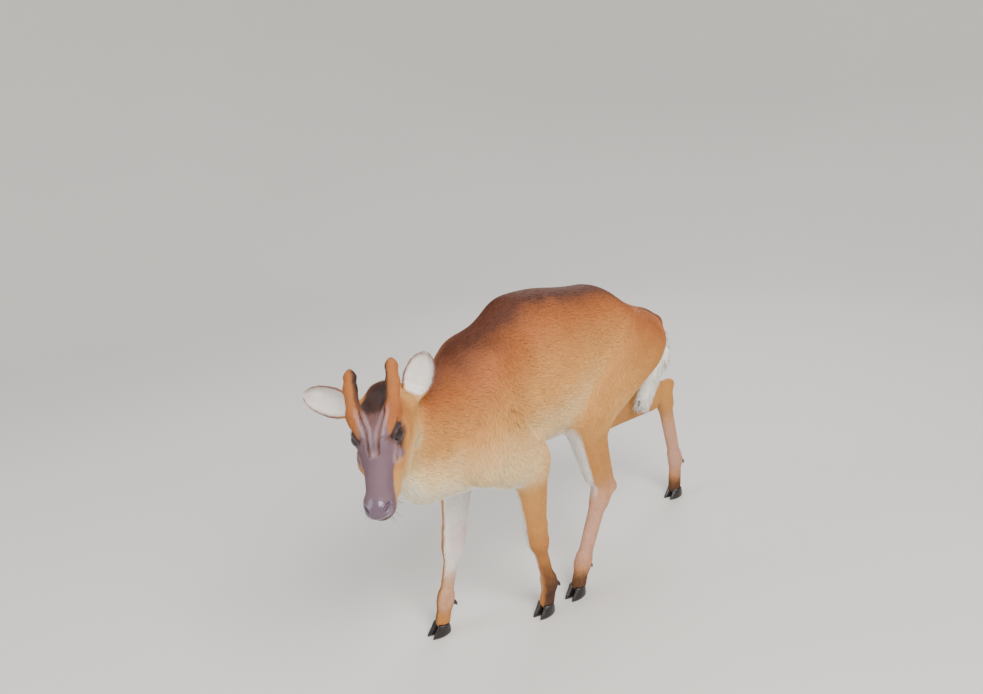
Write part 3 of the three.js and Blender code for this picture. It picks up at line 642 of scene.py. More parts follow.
def from_line(points, stops, radii=None):
    """Distance from each point to a broken line, and the radius of the line there."""
    best = np.full(len(points), FAR)
    size = np.zeros(len(points))
    for index in range(len(stops) - 1):
        a, b = np.asarray(stops[index]), np.asarray(stops[index + 1])
        span = b - a
        share = np.clip((points - a) @ span / (span @ span), 0, 1)
        distance = np.linalg.norm(points - (a + share[:, None] * span), axis=1)
        closer = distance < best
        best[closer] = distance[closer]
        if radii is not None:
            size[closer] = lerp(radii[index], radii[index + 1], share[closer])
    return best, size


def head_line(rows, sign):
    """A line of the face on one side of the head."""
    return np.array([on_head(forward, up, sign * left) for forward, up, left in rows])


class FaceLines:
    """Distances from points on the head to the lines of the face."""

    def __init__(self, points):
        self.mouth = from_line(points, mouth_stops())[0]
        self.gland = np.full(len(points), FAR)
        self.tear = np.full(len(points), FAR)
        self.nostril = np.full(len(points), FAR)
        for sign in SIDES:
            self.gland = np.minimum(self.gland, from_line(points, head_line(GLAND_LINE, sign))[0])
            self.tear = np.minimum(self.tear, from_line(points, head_line(TEAR_LINE, sign))[0])
            distance, radius = from_line(points, head_line(NOSTRIL_LINE, sign), NOSTRIL_RADII)
            self.nostril = np.minimum(self.nostril, distance / np.maximum(radius, 0.1))
        # the groove of the upper lip shows only on the front of the nose
        places = head_places(points)
        self.philtrum = np.abs(places[:, 2]) + 40 * (1 - ease(194, 197, places[:, 0]))


def bell(distance, width):
    """1 at no distance, falling smoothly to nothing."""
    return np.exp(-((distance / width) ** 2))


# Slits of the face and the folds beside them: line, way from it, height and width
FACE_FOLDS = [
    ("gland", 0.0, -1.7, 1.5),
    ("gland", 4.2, 1.1, 2.2),
    ("tear", 0.0, -3.2, 1.5),
    ("tear", 3.2, 1.3, 1.6),
    ("mouth", 0.0, -1.9, 1.05),
]


def carve_face(points, normals):
    """Grooves, folds and openings of the face, as moves along the normal."""
    places = head_places(points)
    lines = FaceLines(points)
    rise = np.zeros(len(points))
    for line, away, height, width in FACE_FOLDS:
        rise += height * bell(getattr(lines, line) - away, width)
    # overhang of the upper lip and fold of the lower
    above = ease(-46, -41, places[:, 1])
    rise += (0.9 * above + 0.5 * (1 - above)) * bell(lines.mouth - 3.2, 2.0)
    # nostrils and their wings
    rise -= 5.0 * (1 - ease(0.72, 1.2, lines.nostril))
    rise += 0.9 * bell(lines.nostril - 1.75, 0.42)
    # the groove that parts the upper lip
    rise -= 0.7 * bell(lines.philtrum, 1.0) * ease(-22, -28, places[:, 1])
    return points + normals * rise[:, None]


# Folds of the loose skin: stops on the surface, depth and width
SKIN_FOLDS = [
    ([(82, -186, 424), (79, -160, 398), (72, -141, 374), (70, -124, 348)], 3.2, 8),
    ([(82, -112, 430), (84, -92, 402), (80, -70, 376)], 2.2, 9),
    ([(-82, -190, 420), (-79, -172, 392), (-72, -160, 366)], 3.0, 8),
    ([(66, -30, 372), (74, -8, 352), (84, 16, 352)], 2.4, 9),
    ([(56, -292, 470), (62, -262, 440), (66, -238, 400)], 1.8, 12),
    ([(50, -338, 452), (53, -326, 424), (46, -318, 390)], 1.8, 9),
    ([(-56, -284, 470), (-62, -256, 440), (-66, -236, 400)], 1.8, 12),
]


def fold_skin(points, normals):
    """Presses the folds into the skin of the body and raises their edges."""
    rise = np.zeros(len(points))
    for stops, depth, width in SKIN_FOLDS:
        distance = from_line(points, np.array(stops, float))[0]
        rise -= depth * bell(distance, width * 0.5)
        rise += depth * 0.45 * bell(distance - width, width * 0.6)
    return points + normals * rise[:, None]


# Gap from the eyeball to the skin round it, depth of the skin behind it, and how far out both reach
RIM_GAP = 0.7
WELL_DEPTH = 3.0
HUG_REACH = 16
HUG_OPENINGS = 2.0


def hug_eyes(points):
    """Draws the skin to the rim of each eye and sinks what would lie before it."""
    for socket in SOCKETS:
        distance, openings = socket.polar(points)
        near = (distance < EYE_RADIUS + HUG_REACH) & (openings < HUG_OPENINGS)
        hugged = lerp(EYE_RADIUS + RIM_GAP, distance, ease(1.25, HUG_OPENINGS, openings))
        target = np.where(openings < 1.1, EYE_RADIUS - WELL_DEPTH, hugged)
        move = np.where(near, target / np.maximum(distance, 1e-6), 1)
        points = socket.centre + (points - socket.centre) * move[:, None]
    return points


# Section of the lids, from the eye outwards: place in openings and height over the eye
LID_PROFILE = [
    (0.9, -0.5), (0.93, 0.2), (0.965, 0.75), (1.01, 1.15), (1.07, 1.3), (1.14, 1.2),
    (1.22, 0.95), (1.3, 1.0), (1.42, 1.15), (1.58, 0.85), (1.78, -0.4),
]
LID_SIDES = 56
LID_REACH = 9


def lid_ring(socket):
    """Both lids as one band round the eye, rolled at the edge, with a fold behind it."""
    around = np.arange(LID_SIDES) * 2 * math.pi / LID_SIDES
    upper = ease(-0.2, 0.9, np.sin(around))
    rings = []
    for openings, height in LID_PROFILE:
        thick = height * (1 + 0.25 * upper)
        rings.append(socket.at(around, np.full(LID_SIDES, openings), EYE_RADIUS + thick))
    return np.concatenate(rings), ring_faces(len(rings), LID_SIDES, flip=socket.sign > 0)


# Ears: a stalk that opens into a cup

EAR_ENDS = {
    1: (on_head(5, -8, 36), on_head(-43, 50, 76), head_vector(0.8, 0.59, 0.1)),
    -1: (on_head(5, -4, -36), on_head(-34, 18, -130), head_vector(0.8, 0.59, -0.1)),
}
EAR_BEND = 6
EAR_ROWS = np.array(
    [
        # share of the length, half width, depth of the cup, how far it is open
        (0.0, 9.0, 9.5, 0.0),
        (0.14, 12.0, 11.5, 0.1),
        (0.24, 16.5, 13.0, 0.8),
        (0.36, 21.0, 13.5, 1.0),
        (0.5, 23.4, 13.0, 1.0),
        (0.64, 22.4, 11.5, 1.0),
        (0.78, 19.6, 9.6, 1.0),
        (0.9, 13.8, 7.2, 1.0),
        (0.975, 6.2, 4.0, 1.0),
    ]
)
# Angles from the back of the ear to the ends of its outer wall, of its cup and of the shut stalk
EAR_RIM = 1.85
EAR_CUP = 1.62
EAR_SHUT = 2.0
EAR_WALL = 2.3
EAR_STEPS = 46
EAR_OUTER = 29
EAR_INNER = 25


class Ear:
    """One ear as rings of points, with where each lies along it and whether it faces in."""

    def __init__(self, sign):
        root, tip, look = EAR_ENDS[sign]
        side = unit(np.cross(look, tip - root))
        middle = lerp(root, tip, 0.5) - look * EAR_BEND
        rings, shares, inner, edges, lies = [], [], [], [], []
        for step in range(EAR_STEPS):
            share = EAR_ROWS[-1, 0] * (step / (EAR_STEPS - 1)) ** 0.92
            half, cup, opened = (np.interp(share, EAR_ROWS[:, 0], EAR_ROWS[:, k]) for k in (1, 2, 3))
            at = root * (1 - share) ** 2 + middle * 2 * share * (1 - share) + tip * share**2
            normal = unit((middle - root) * (1 - share) + (tip - middle) * share)
            across = unit(side - normal * (side @ normal))
            deep = np.cross(normal, across)
            outline, facing, edge = self.outline(half, cup, opened)
            rings.append(at + outline[:, :1] * across + outline[:, 1:] * deep)
            shares.append(np.full(len(outline), share))
            inner.append(facing * opened)
            edges.append(edge)
            lies.append(np.tile(normal, (len(outline), 1)))
        self.points = np.concatenate(rings)
        self.share = np.concatenate(shares)
        self.inner = np.concatenate(inner)
        self.edge = np.concatenate(edges)
        self.lie = np.concatenate(lies)
        sides = EAR_OUTER + EAR_INNER
        self.faces = ring_faces(EAR_STEPS, sides)
        tip_ring = [(EAR_STEPS - 1) * sides + k for k in range(sides)]
        self.faces.append(tuple(tip_ring))

    @staticmethod
    def outline(half, cup, opened):
        angle = np.linspace(-EAR_RIM, EAR_RIM, EAR_OUTER)
        outer = np.stack([half * np.sin(angle), -cup * np.cos(angle)], 1)
        wall = min(EAR_WALL, half * 0.45)
        inside = np.linspace(EAR_CUP, -EAR_CUP, EAR_INNER)
        front = np.linspace(EAR_SHUT, 2 * math.pi - EAR_SHUT, EAR_INNER)
        ridge = 0.55 * np.cos(inside * 5) * opened
        shut = np.stack([half * np.sin(front), -cup * np.cos(front)], 1)
        cupped = np.stack([(half - wall) * np.sin(inside), (wall - cup + ridge) * np.cos(inside)], 1)
        outline = np.concatenate([outer, lerp(shut, cupped, opened)])
        facing = np.concatenate([np.zeros(EAR_OUTER), np.ones(EAR_INNER)])
        edge = np.concatenate([np.abs(angle) / EAR_RIM, np.abs(inside) / EAR_CUP])
        return outline, facing, edge


EARS = {sign: Ear(sign) for sign in SIDES}

# Markings: shares from 0 to 1 that the materials turn into colours

MARKINGS = ("rise", "white", "dark", "grey", "pink", "leather")
# Heights where the belly colour starts and where the back's is full, from the neck to the rump
UNDER_LINE = [
    (-420, 400), (-345, 300), (-250, 272), (-165, 262), (-90, 290), (0, 318), (125, 350), (320, 372),
]
TOP_LINE = [
    (-420, 542), (-330, 524), (-260, 532), (-196, 550), (-95, 582), (0, 574), (110, 556), (200, 520),
    (310, 460),
]
# Heights where the white stripe of each hindleg ends and where it is full
STRIPE_ENDS = {1: (150, 225), -1: (262, 330)}


def on_line(line, value):
    return np.interp(value, *zip(*line))


def body_markings(points, normals, survey):
    """Markings of the trunk, neck, legs and tail."""
    x, y, z = points.T
    nx, ny, nz = normals.T
    groups = survey.groups
    low, high = on_line(UNDER_LINE, y), on_line(TOP_LINE, y)
    height = np.clip((z - low) / (high - low), 0, 1.05)
    beside_spine = ease(12, 58, np.abs(x))
    rise = height * (1.02 - 0.12 * beside_spine) * (groups["trunk"] + groups["shoulder"] + groups["tail"])
    rise += groups["neck"] * np.clip(0.1 + height * 0.82 + 0.1 * nz, 0, 1)
    rise += groups["haunch"] * np.clip(0.36 + 0.46 * height + 0.1 * ease(60, 260, y), 0, 0.78)
    white = ease(-0.45, -0.95, nz) * (groups["trunk"] * 0.8 + groups["haunch"])
    dark = np.zeros(len(points))
    pink = np.zeros(len(points))
    inward = np.where(x > 0, -nx, nx)
    ahead = -ny
    # forelegs: tawny to dark brown outside, white inside
    for side, name in SIDES.items():
        leg = groups[f"{name}_fore"]
        inner = -side * nx
        pale = inner + 0.25 * ahead
        rise += leg * (0.46 + 0.14 * ease(250, 120, z))
        white += leg * ease(0.0, 0.42, pale) * ease(22, 60, z) * lerp(0.3, 1, ease(90, 150, z))
        dark += leg * ease(170, 40, z) * 0.75 * ease(0.6, -0.5, pale)
        pink += leg * bell(z - 172, 34) * ease(0.3, 0.8, inner) * 0.55
    shoulder_white = ease(0.25, 0.8, inward) * ease(345, 300, z)
    white += groups["shoulder"] * np.maximum(shoulder_white, ease(-0.5, -0.95, nz) * 0.8)
    # hindlegs: tawny, with a white stripe on the front of the inner side down to the hock
    for side, name in SIDES.items():
        leg = groups[f"{name}_hind"]
        stripe = -side * nx * 0.7 + ahead * 0.71
        rise += leg * (0.5 + 0.06 * ease(180, 60, z))
        white += leg * ease(-0.15, 0.3, stripe) * ease(*STRIPE_ENDS[side], z)
        pink += leg * ease(235, 150, z) * ease(35, 90, z) * 0.45
        dark += leg * ease(75, 30, z) * 0.7
    stripe = inward * 0.7 + ahead * 0.71
    left_end = np.where(x > 0, ease(160, 110, y), 1)
    white += groups["haunch"] * ease(0.2, 0.6, stripe) * ease(415, 360, z) * left_end
    # rump: white under and beside the tail
    behind = ease(0.35, 0.8, ny + 0.3 * inward)
    rump = (groups["haunch"] + groups["trunk"]) * behind
    white += rump * ease(85, 45, np.abs(x)) * ease(215, 262, y) * ease(462, 430, z)
    # tail: rufous down the middle of its root, white below and along both edges
    outside = ease(0.5, 0.85, ny) * ease(352, 388, z)
    white = np.where(groups["tail"] > 0.5, np.maximum(white, 1 - outside), white)
    rise = np.where(groups["tail"] > 0.5, 0.8, rise)
    return {
        "rise": rise,
        "white": np.clip(white, 0, 1),
        "dark": dark,
        "grey": np.zeros(len(points)),
        "pink": pink,
        "leather": np.zeros(len(points)),
    }


# Half width and lower edge of the grey of the face, and half width of the dark brow, along the head
GREY_HALF = [(36, 16), (60, 21), (80, 20), (95, 21), (110, 25), (130, 25), (150, 24), (180, 23), (210, 23)]
GREY_FLOOR = [(60, 20), (95, 8), (110, -2), (130, -12), (150, -22), (172, -33), (190, -52)]
BROW_HALF = [(56, 24), (64, 21), (79, 16), (93, 10), (112, 7.5), (127, 6)]
# Place on the ramp of coat colours at each height over the poll
HEAD_RISE = [
    (-64, 0.08), (-50, 0.22), (-36, 0.36), (-20, 0.46), (-2, 0.55), (16, 0.64), (34, 0.74), (60, 0.8),
]
# Darkness along the lines of the face, and its width
LINE_TINTS = [("gland", 0.9, 2.6), ("mouth", 0.8, 1.4), ("tear", 0.75, 2.0)]
# Where the two forehead glands meet
GLAND_MEETING = (128, 15, 0)


def head_markings(points, normals):
    """Markings of the head and pedicels."""
    places = head_places(points)
    forward, up, left = places.T
    wide = np.abs(left)
    lines = FaceLines(points)
    local = normals @ FACE.T
    rise = on_line(HEAD_RISE, up) + 0.08 * ease(40, 0, forward)
    half = on_line(GREY_HALF, forward)
    floor = on_line(GREY_FLOOR, forward)
    grey = ease(3, -3, wide - half) * ease(-5, 4, up - floor) * ease(24, 44, forward)
    from_tear = np.hypot(forward - 107, up - 5)
    grey = np.maximum(grey, 0.85 * ease(24, 12, from_tear) * ease(18, 24, wide))
    crown_width = wide + 0.28 * np.maximum(forward - 30, 0) - 8
    crown = ease(84, 62, forward) * ease(23, 16, crown_width) * ease(18, 32, up)
    dark = 0.8 * crown * ease(-40, -14, forward)
    brow = ease(3, -4, wide - on_line(BROW_HALF, forward)) * ease(122, 78, forward) * ease(20, 28, up)
    dark = np.maximum(dark, 0.46 * brow * (1 - 0.7 * bell(wide, 3.4) * ease(86, 100, forward)))
    for line, share, width in LINE_TINTS:
        dark = np.maximum(dark, share * bell(getattr(lines, line), width))
    pedicel = ease(36, 46, up) * ease(14, 19, wide)
    rise = lerp(rise, 0.72, pedicel)
    grey *= 1 - pedicel
    inner_side = ease(0.2, 0.75, -np.sign(left) * local[:, 2])
    dark = np.maximum(dark, 0.62 * pedicel * inner_side)
    from_meeting = np.linalg.norm(places - GLAND_MEETING, axis=1)
    pink = 0.3 * bell(lines.tear - 5.0, 3.0) + 0.5 * bell(from_meeting, 4)
    pink += 0.42 * bell(lines.gland - 5.4, 2.4) * ease(60, 74, forward) * ease(22, 30, up)
    # moist skin of the nose, its floor, and the rims of the eyes
    leather = ease(186, 191, forward - 0.1 * np.maximum(wide - 8, 0) ** 1.1) * ease(-45, -41, up)
    leather = np.maximum(leather, 1 - ease(1.9, 2.4, lines.nostril))
    leather = np.maximum(leather, 0.8 * bell(lines.tear, 2.6))
    for socket in SOCKETS:
        distance, openings = socket.polar(points)
        near = distance < EYE_RADIUS + LID_REACH
        lid = 1 - ease(1.18, 1.34, openings)
        leather = np.where(near & (lid > 0), 0.3 * lid, leather)
        dark = np.where(near, np.maximum(dark, 0.95 * (1 - ease(1.3, 1.75, openings))), dark)
    throat = ease(-52, -62, up) * ease(40, 70, forward) * 0.8
    chin = 0.5 * ease(-42, -52, up) * ease(150, 168, forward)
    # paler hair at the root of the ear
    ear_root = ease(30, 6, forward) * ease(20, 30, wide) * ease(-30, -6, up)
    rise = lerp(rise, 0.34, 0.75 * ear_root * (1 - pedicel))
    return {
        "rise": rise,
        "white": np.clip(throat + chin, 0, 1) * (1 - grey),
        "dark": dark,
        "grey": grey * (1 - 0.8 * dark),
        "pink": pink,
        "leather": leather,
    }


def markings_of(points, normals, survey):
    """Markings of the body, with those of the head faded in over them."""
    body = body_markings(points, normals, survey)
    on_the_head = survey.head_share()
    rows = np.nonzero(on_the_head > 0.02)[0]
    head = head_markings(points[rows], normals[rows])
    marks = {}
    for name in MARKINGS:
        values = body[name]
        values[rows] = lerp(values[rows], head[name], ease(0.15, 0.75, on_the_head[rows]))
        marks[name] = np.clip(values, 0, 1)
    return marks


def ear_markings(ear):
    """Markings of one ear: tawny behind with a grey rim, white in the cup."""
    share, inner = ear.share, ear.inner
    rim = np.maximum(ease(0.72, 0.98, ear.edge) * ease(0.2, 0.4, share), ease(0.78, 0.96, share))
    return {
        "rise": lerp(0.36, 0.62, ease(0.1, 0.35, share)),
        "white": inner * ease(0.1, 0.24, share),
        "dark": (1 - inner) * 0.35 * ease(0.2, 0.7, share),
        "grey": rim * (0.38 - 0.3 * inner) + 0.25 * (1 - inner) * ease(0.2, 0.5, share),
        "pink": inner * (0.05 + 0.42 * rim),
        "leather": np.zeros(len(share)),
    }


# Making meshes from arrays


def object_of(mesh, name, material):
    mesh.name = name
    piece = bpy.data.objects.new(name, mesh)
    bpy.context.scene.collection.objects.link(piece)
    mesh.materials.append(material)
    return piece


def declare(piece):
    """Every piece rides on the one body."""
    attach(piece, "root")


def array_mesh(name, points, faces):
    """A mesh of faces that all have the same number of corners."""
    corners = faces.shape[1]
    mesh = bpy.data.meshes.new(name)
    mesh.vertices.add(len(points))
    mesh.vertices.foreach_set("co", np.ascontiguousarray(points, np.float32).ravel())
    mesh.loops.add(faces.size)
    mesh.loops.foreach_set("vertex_index", np.ascontiguousarray(faces, np.int32).ravel())
    mesh.polygons.add(len(faces))
    mesh.polygons.foreach_set("loop_start", np.arange(len(faces), dtype=np.int32) * corners)
    mesh.update(calc_edges=True)
    return mesh


def set_marks(mesh, marks):
    for name, values in marks.items():
        attribute = mesh.attributes.new(name, "FLOAT", "POINT")
        attribute.data.foreach_set("value", np.ascontiguousarray(values, np.float32))


def set_bake_chart(mesh, places):
    """The OFBake map, from one place for every vertex."""
    layer = mesh.uv_layers.new(name="OFBake")
    corners = np.empty(len(mesh.loops), np.int32)
    mesh.loops.foreach_get("vertex_index", corners)
    layer.data.foreach_set("uv", np.ascontiguousarray(places[corners], np.float32).ravel())


PATCH = 0.003
CHART_MARGIN = 0.04


class Strands:
    """Closed, tapered tufts: a root, three-sided rings and a tip, for many at once."""

    def __init__(self, paths, across, upward, widths, thickness=0.3):
        count, stops = paths.shape[:2]
        rings = stops - 2
        self.stride = 2 + 3 * rings
        points = np.empty((count, self.stride, 3))
        normals = np.empty_like(points)
        along = np.empty((count, self.stride))
        sides = np.empty((count, self.stride))
        points[:, 0], points[:, -1] = paths[:, 0], paths[:, -1]
        normals[:, 0], normals[:, -1] = upward, upward
        along[:, 0], along[:, -1] = 0, 1
        sides[:, 0], sides[:, -1] = 0, 0
        for ring in range(rings):
            at, half = paths[:, ring + 1], widths[:, ring, None] / 2
            first = 1 + 3 * ring
            points[:, first] = at + across * half
            points[:, first + 1] = at + upward * half * 2 * thickness
            points[:, first + 2] = at - across * half
            normals[:, first] = upward * 0.85 + across * 0.5
            normals[:, first + 1] = upward
            normals[:, first + 2] = upward * 0.85 - across * 0.5
            along[:, first : first + 3] = (ring + 1) / (stops - 1)
            sides[:, first : first + 3] = (1, 0, -1)
        self.points = points.reshape(-1, 3)
        self.normals = unit(normals).reshape(-1, 3)
        self.along = along.ravel()
        self.sides = sides.ravel()
        self.count = count
        base = np.arange(count)[:, None, None] * self.stride
        self.faces = (self.template(rings)[None] + base).reshape(-1, 3)

    @staticmethod
    def template(rings):
        last = 1 + 3 * rings
        faces = [(0, 2, 1), (0, 3, 2), (0, 1, 3)]
        for ring in range(rings - 1):
            a = 1 + 3 * ring
            for side in range(3):
                b = a + (side + 1) % 3
                faces += [(a + side, b, b + 3), (a + side, b + 3, a + side + 3)]
        a = last - 3
        faces += [(last, a, a + 1), (last, a + 1, a + 2), (last, a + 2, a)]
        return np.array(faces)

    def spread(self, values):
        """One value for each strand, given to each of its vertices."""
        return np.repeat(values, self.stride, axis=0)

    def build(self, name, material, marks, charts, hanging=False):
        """Tufts on the skin are shaded with it. Hanging locks keep the normals of their own faces."""
        mesh = array_mesh(name, to_frame(self.points), self.faces)
        if not hanging:
            mesh.shade_smooth()
            mesh.normals_split_custom_set_from_vertices(self.normals.tolist())
        set_marks(mesh, {key: self.spread(values) for key, values in marks.items()})
        set_marks(mesh, {"along": self.along})
        patch = np.stack([self.sides * PATCH / 2, self.along * PATCH], 1)
        set_bake_chart(mesh, self.spread(charts) + patch)
        return object_of(mesh, name, material)


def chart_places(survey_chart, share, angle):
    """Where each root lies when every mass is unrolled into its own cell of a square sheet."""
    names, cell = np.unique(survey_chart, return_inverse=True)
    across = math.ceil(math.sqrt(len(names)))
    inner = 1 - 2 * CHART_MARGIN
    u = cell % across + CHART_MARGIN + inner * share
    v = cell // across + CHART_MARGIN + inner * (angle / (2 * math.pi) + 0.5)
    return np.stack([u, v], 1) / across


# Shader maths


class Number:
    """A socket with one number in it. Arithmetic on it adds Math nodes."""

    def __init__(self, paint, socket):
        self.paint = paint
        self.socket = socket

    def join(self, operation, first, second):
        node = self.paint.node("ShaderNodeMath", {"operation": operation}, {0: first, 1: second})
        return Number(self.paint, node.outputs[0])

    def __add__(self, other):
        return self.join("ADD", self, other)

    def __sub__(self, other):
        return self.join("SUBTRACT", self, other)

    def __rsub__(self, other):
        return self.join("SUBTRACT", other, self)

    def __mul__(self, other):
        return self.join("MULTIPLY", self, other)

    def __truediv__(self, other):
        return self.join("DIVIDE", self, other)

    def __rtruediv__(self, other):
        return self.join("DIVIDE", other, self)

    def __pow__(self, other):
        return self.join("POWER", self, other)

    def __rpow__(self, other):
        return self.join("POWER", other, self)

    __radd__ = __add__
    __rmul__ = __mul__


class Paint:
    """The nodes of one material."""

    def __init__(self, name):
        self.material = bpy.data.materials.new(name)
        self.material.use_nodes = True
        self.tree = self.material.node_tree
        self.tree.nodes.clear()

    def node(self, kind, settings=None, values=None):
        node = self.tree.nodes.new(kind)
        for name, value in (settings or {}).items():
            if name == "stops":
                self.set_stops(node.color_ramp, value)
            else:
                setattr(node, name, value)
        for socket, value in (values or {}).items():
            target = node.inputs[socket]
            if isinstance(value, Number):
                self.tree.links.new(value.socket, target)
            elif isinstance(value, bpy.types.NodeSocket):
                self.tree.links.new(value, target)
            else:
                target.default_value = value
        return node

    @staticmethod
    def set_stops(ramp, stops):
        while len(ramp.elements) < len(stops):
            ramp.elements.new(0.5)
        for element, (place, colour) in zip(ramp.elements, stops):
            element.position = place
            element.color = colour

    def attribute(self, name):
        return Number(self, self.node("ShaderNodeAttribute", {"attribute_name": name}).outputs["Fac"])

    def place(self):
        return self.node("ShaderNodeTexCoord").outputs["Object"]

    def noise(self, scale, detail=2.0, roughness=0.5, place=None):
        values = {"Vector": place or self.place(), "Scale": scale, "Detail": detail, "Roughness": roughness}
        return Number(self, self.node("ShaderNodeTexNoise", None, values).outputs["Fac"])

    def cells(self, scale):
        values = {"Vector": self.place(), "Scale": scale}
        node = self.node("ShaderNodeTexVoronoi", {"feature": "SMOOTH_F1"}, values)
        return Number(self, node.outputs["Distance"])

    def step(self, value, low, high):
        settings = {"interpolation_type": "SMOOTHSTEP"}
        node = self.node("ShaderNodeMapRange", settings, {"Value": value, "From Min": low, "From Max": high})
        return Number(self, node.outputs["Result"])

    def mix(self, share, first, second):
        return self.node("ShaderNodeMix", {"data_type": "RGBA"}, {0: share, 6: first, 7: second}).outputs[2]

    def brighten(self, colour, factor):
        """Scales a colour by a number that varies."""
        node = self.node("ShaderNodeVectorMath", {"operation": "SCALE"}, {0: colour, "Scale": factor})
        return node.outputs["Vector"]

    def bump(self, height, distance, strength=1.0):
        values = {"Height": height, "Distance": distance, "Strength": strength}
        return self.node("ShaderNodeBump", None, values).outputs["Normal"]

    def surface(self, **values):
        names = {name.replace("_", " "): value for name, value in values.items()}
        shader = self.node("ShaderNodeBsdfPrincipled", None, names)
        self.node("ShaderNodeOutputMaterial", None, {"Surface": shader.outputs["BSDF"]})
        return self.material


def srgb(red, green, blue):
    """A linear colour from the red, green and blue of a screen."""
    shares = (red / 255, green / 255, blue / 255)
    channels = [c / 12.92 if c <= 0.04045 else ((c + 0.055) / 1.055) ** 2.4 for c in shares]
    return (*channels, 1.0)


def coat_colour(paint, look):
    """The markings as a colour: a ramp from belly to spine, with the other zones laid over it."""
    drift = paint.noise(14, 3, 0.55)
    grain = paint.noise(260, 2, 0.6)
    rise = paint.attribute("rise") + (drift - 0.5) * 0.16 + (grain - 0.5) * 0.07
    stops = [
        (0.02, look.under),
        (0.17, look.lower),
        (0.44, look.flank),
        (0.76, look.upper),
        (0.96, look.spine),
    ]
    ramp = paint.node("ShaderNodeValToRGB", {"stops": stops}, {"Fac": rise})
    colour = ramp.outputs["Color"]
    ragged = (paint.noise(90, 3, 0.6) - 0.5) * 0.35
    for name, tint in (("white", look.white), ("grey", look.grey), ("dark", look.dark)):
        share = paint.step(paint.attribute(name) + ragged * 0.6, 0.08, 0.92)
        colour = paint.mix(share, colour, tint)
    colour = paint.mix(paint.attribute("pink"), colour, look.pink)
    return paint.mix(paint.attribute("leather"), colour, look.leather)


def coat_material(name, look, tufted):
    """Hair, and bare skin where the markings say leather. Tufts vary in shade and pale towards their tips."""
    paint = Paint(name)
    leather = paint.attribute("leather")
    shade = 0.94 + (paint.noise(34, 4, 0.6) - 0.5) * 0.22
    if tufted:
        along = paint.attribute("along")
        shade = shade + paint.attribute("shade") * 0.07 + (along - 0.45) * 0.1
    else:
        shade = shade * 0.94
    colour = paint.brighten(coat_colour(paint, look), shade)
    pebbles = paint.cells(620) * leather * 0.6
    strands = paint.noise(900, 3, 0.7) * (1 - leather) * 0.5
    height = pebbles + strands + paint.noise(160, 2) * leather * 0.6
    return paint.surface(
        Base_Color=colour,
        Roughness=0.6 - leather * 0.34,
        Coat_Weight=leather * 0.6,
        Coat_Roughness=0.15,
        Specular_IOR_Level=0.28,
        Normal=paint.bump(height, 0.0006, 0.7),
    )


def horn_material(look):
    """Dark horn with growth lines that run round the hoof and a paler sole edge."""
    paint = Paint("hoof horn")
    values = {0: paint.place(), 1: (1, 1, 14)}
    flattened = paint.node("ShaderNodeVectorMath", {"operation": "MULTIPLY"}, values)
    rings = paint.noise(70, 2, place=flattened.outputs["Vector"])
    wear = paint.step(paint.attribute("height"), 0.22, 0.0)
    flecks = paint.noise(420, 3, 0.65)
    colour = paint.mix(wear * 0.55 + (flecks - 0.5) * 0.2, look.horn, look.horn_worn)
    return paint.surface(
        Base_Color=paint.brighten(colour, 0.85 + rings * 0.35),
        Roughness=0.3 + wear * 0.3 + (flecks - 0.5) * 0.15,
        Specular_IOR_Level=0.5,
        Normal=paint.bump(rings + flecks * 0.4, 0.0005, 0.6),
    )


PUPIL_LENGTH = 0.5
PUPIL_HEIGHT = 0.27


def eye_material(look):
    """Dark brown iris with a dark rim, and a level pupil with a painted bluish reflection that is lighter in
    its middle, under a wet cornea.
    """
    paint = Paint("eye")
    across = paint.attribute("across")
    upright = paint.attribute("upright")
    pupil_away = ((across / PUPIL_LENGTH) ** 2.0 + (upright / PUPIL_HEIGHT) ** 2.0) ** 0.5
    iris_away = (across**2.0 + upright**2.0) ** 0.5
    rays = paint.noise(1500, 3, 0.7)
    iris = paint.mix(paint.step(rays, 0.3, 0.75), look.iris_dark, look.iris)
    iris = paint.mix(paint.step(iris_away, 0.6, 0.86), iris, look.eye_rim)
    # Painted reflection: the pupil is bluish and lighter in its middle
    pupil = paint.mix(paint.step(pupil_away, 0.0, 0.9), look.pupil_reflection_middle, look.pupil_reflection_edge)
    return paint.surface(
        Base_Color=paint.mix(paint.step(pupil_away, 1.06, 0.94), iris, pupil),
        Roughness=0.12,
        Specular_IOR_Level=0.3,
        Coat_Weight=0.4,
        Coat_Roughness=0.02,
    )


# Skin

LEG_REFINE_TOP = 165
MUZZLE_START = 58
FACE_START = 40
FINE_SETTLE = 0.8
SKIN_LOW = point(-114, -552, 4)
SKIN_HIGH = point(174, 466, 602)


def flesh_mesh():
    """The skin of trunk, legs, head and tail as one net, finer on the legs and head."""
    points, faces = net_over(FLESH, SKIN_LOW, SKIN_HIGH, NET_CELL)
    points = settle(relax(points, faces), NET_CELL / 3)
    mesh = new_mesh("skin", points, faces)
    for level in range(2):
        points = mesh_points(mesh)
        survey = Survey(points)
        on_the_head = survey.head_share() > 0.5
        if level == 0:
            chosen = on_the_head | (points[:, 2] < LEG_REFINE_TOP) | (survey.groups["tail"] > 0.6)
        else:
            chosen = on_the_head & (head_places(points)[:, 0] > MUZZLE_START)
        refine(mesh, chosen)
    points = settle(mesh_points(mesh), FINE_SETTLE)
    set_mesh_points(mesh, points)
    points = fold_skin(points, mesh_normals(mesh))
    set_mesh_points(mesh, points)
    face = np.nonzero(head_places(points)[:, 0] > FACE_START)[0]
    face = face[Survey(points[face]).groups["head"] > 0.5]
    normals = mesh_normals(mesh)
    points[face] = carve_face(points[face], normals[face])
    points[face] = hug_eyes(points[face])
    set_mesh_points(mesh, points)
    return mesh


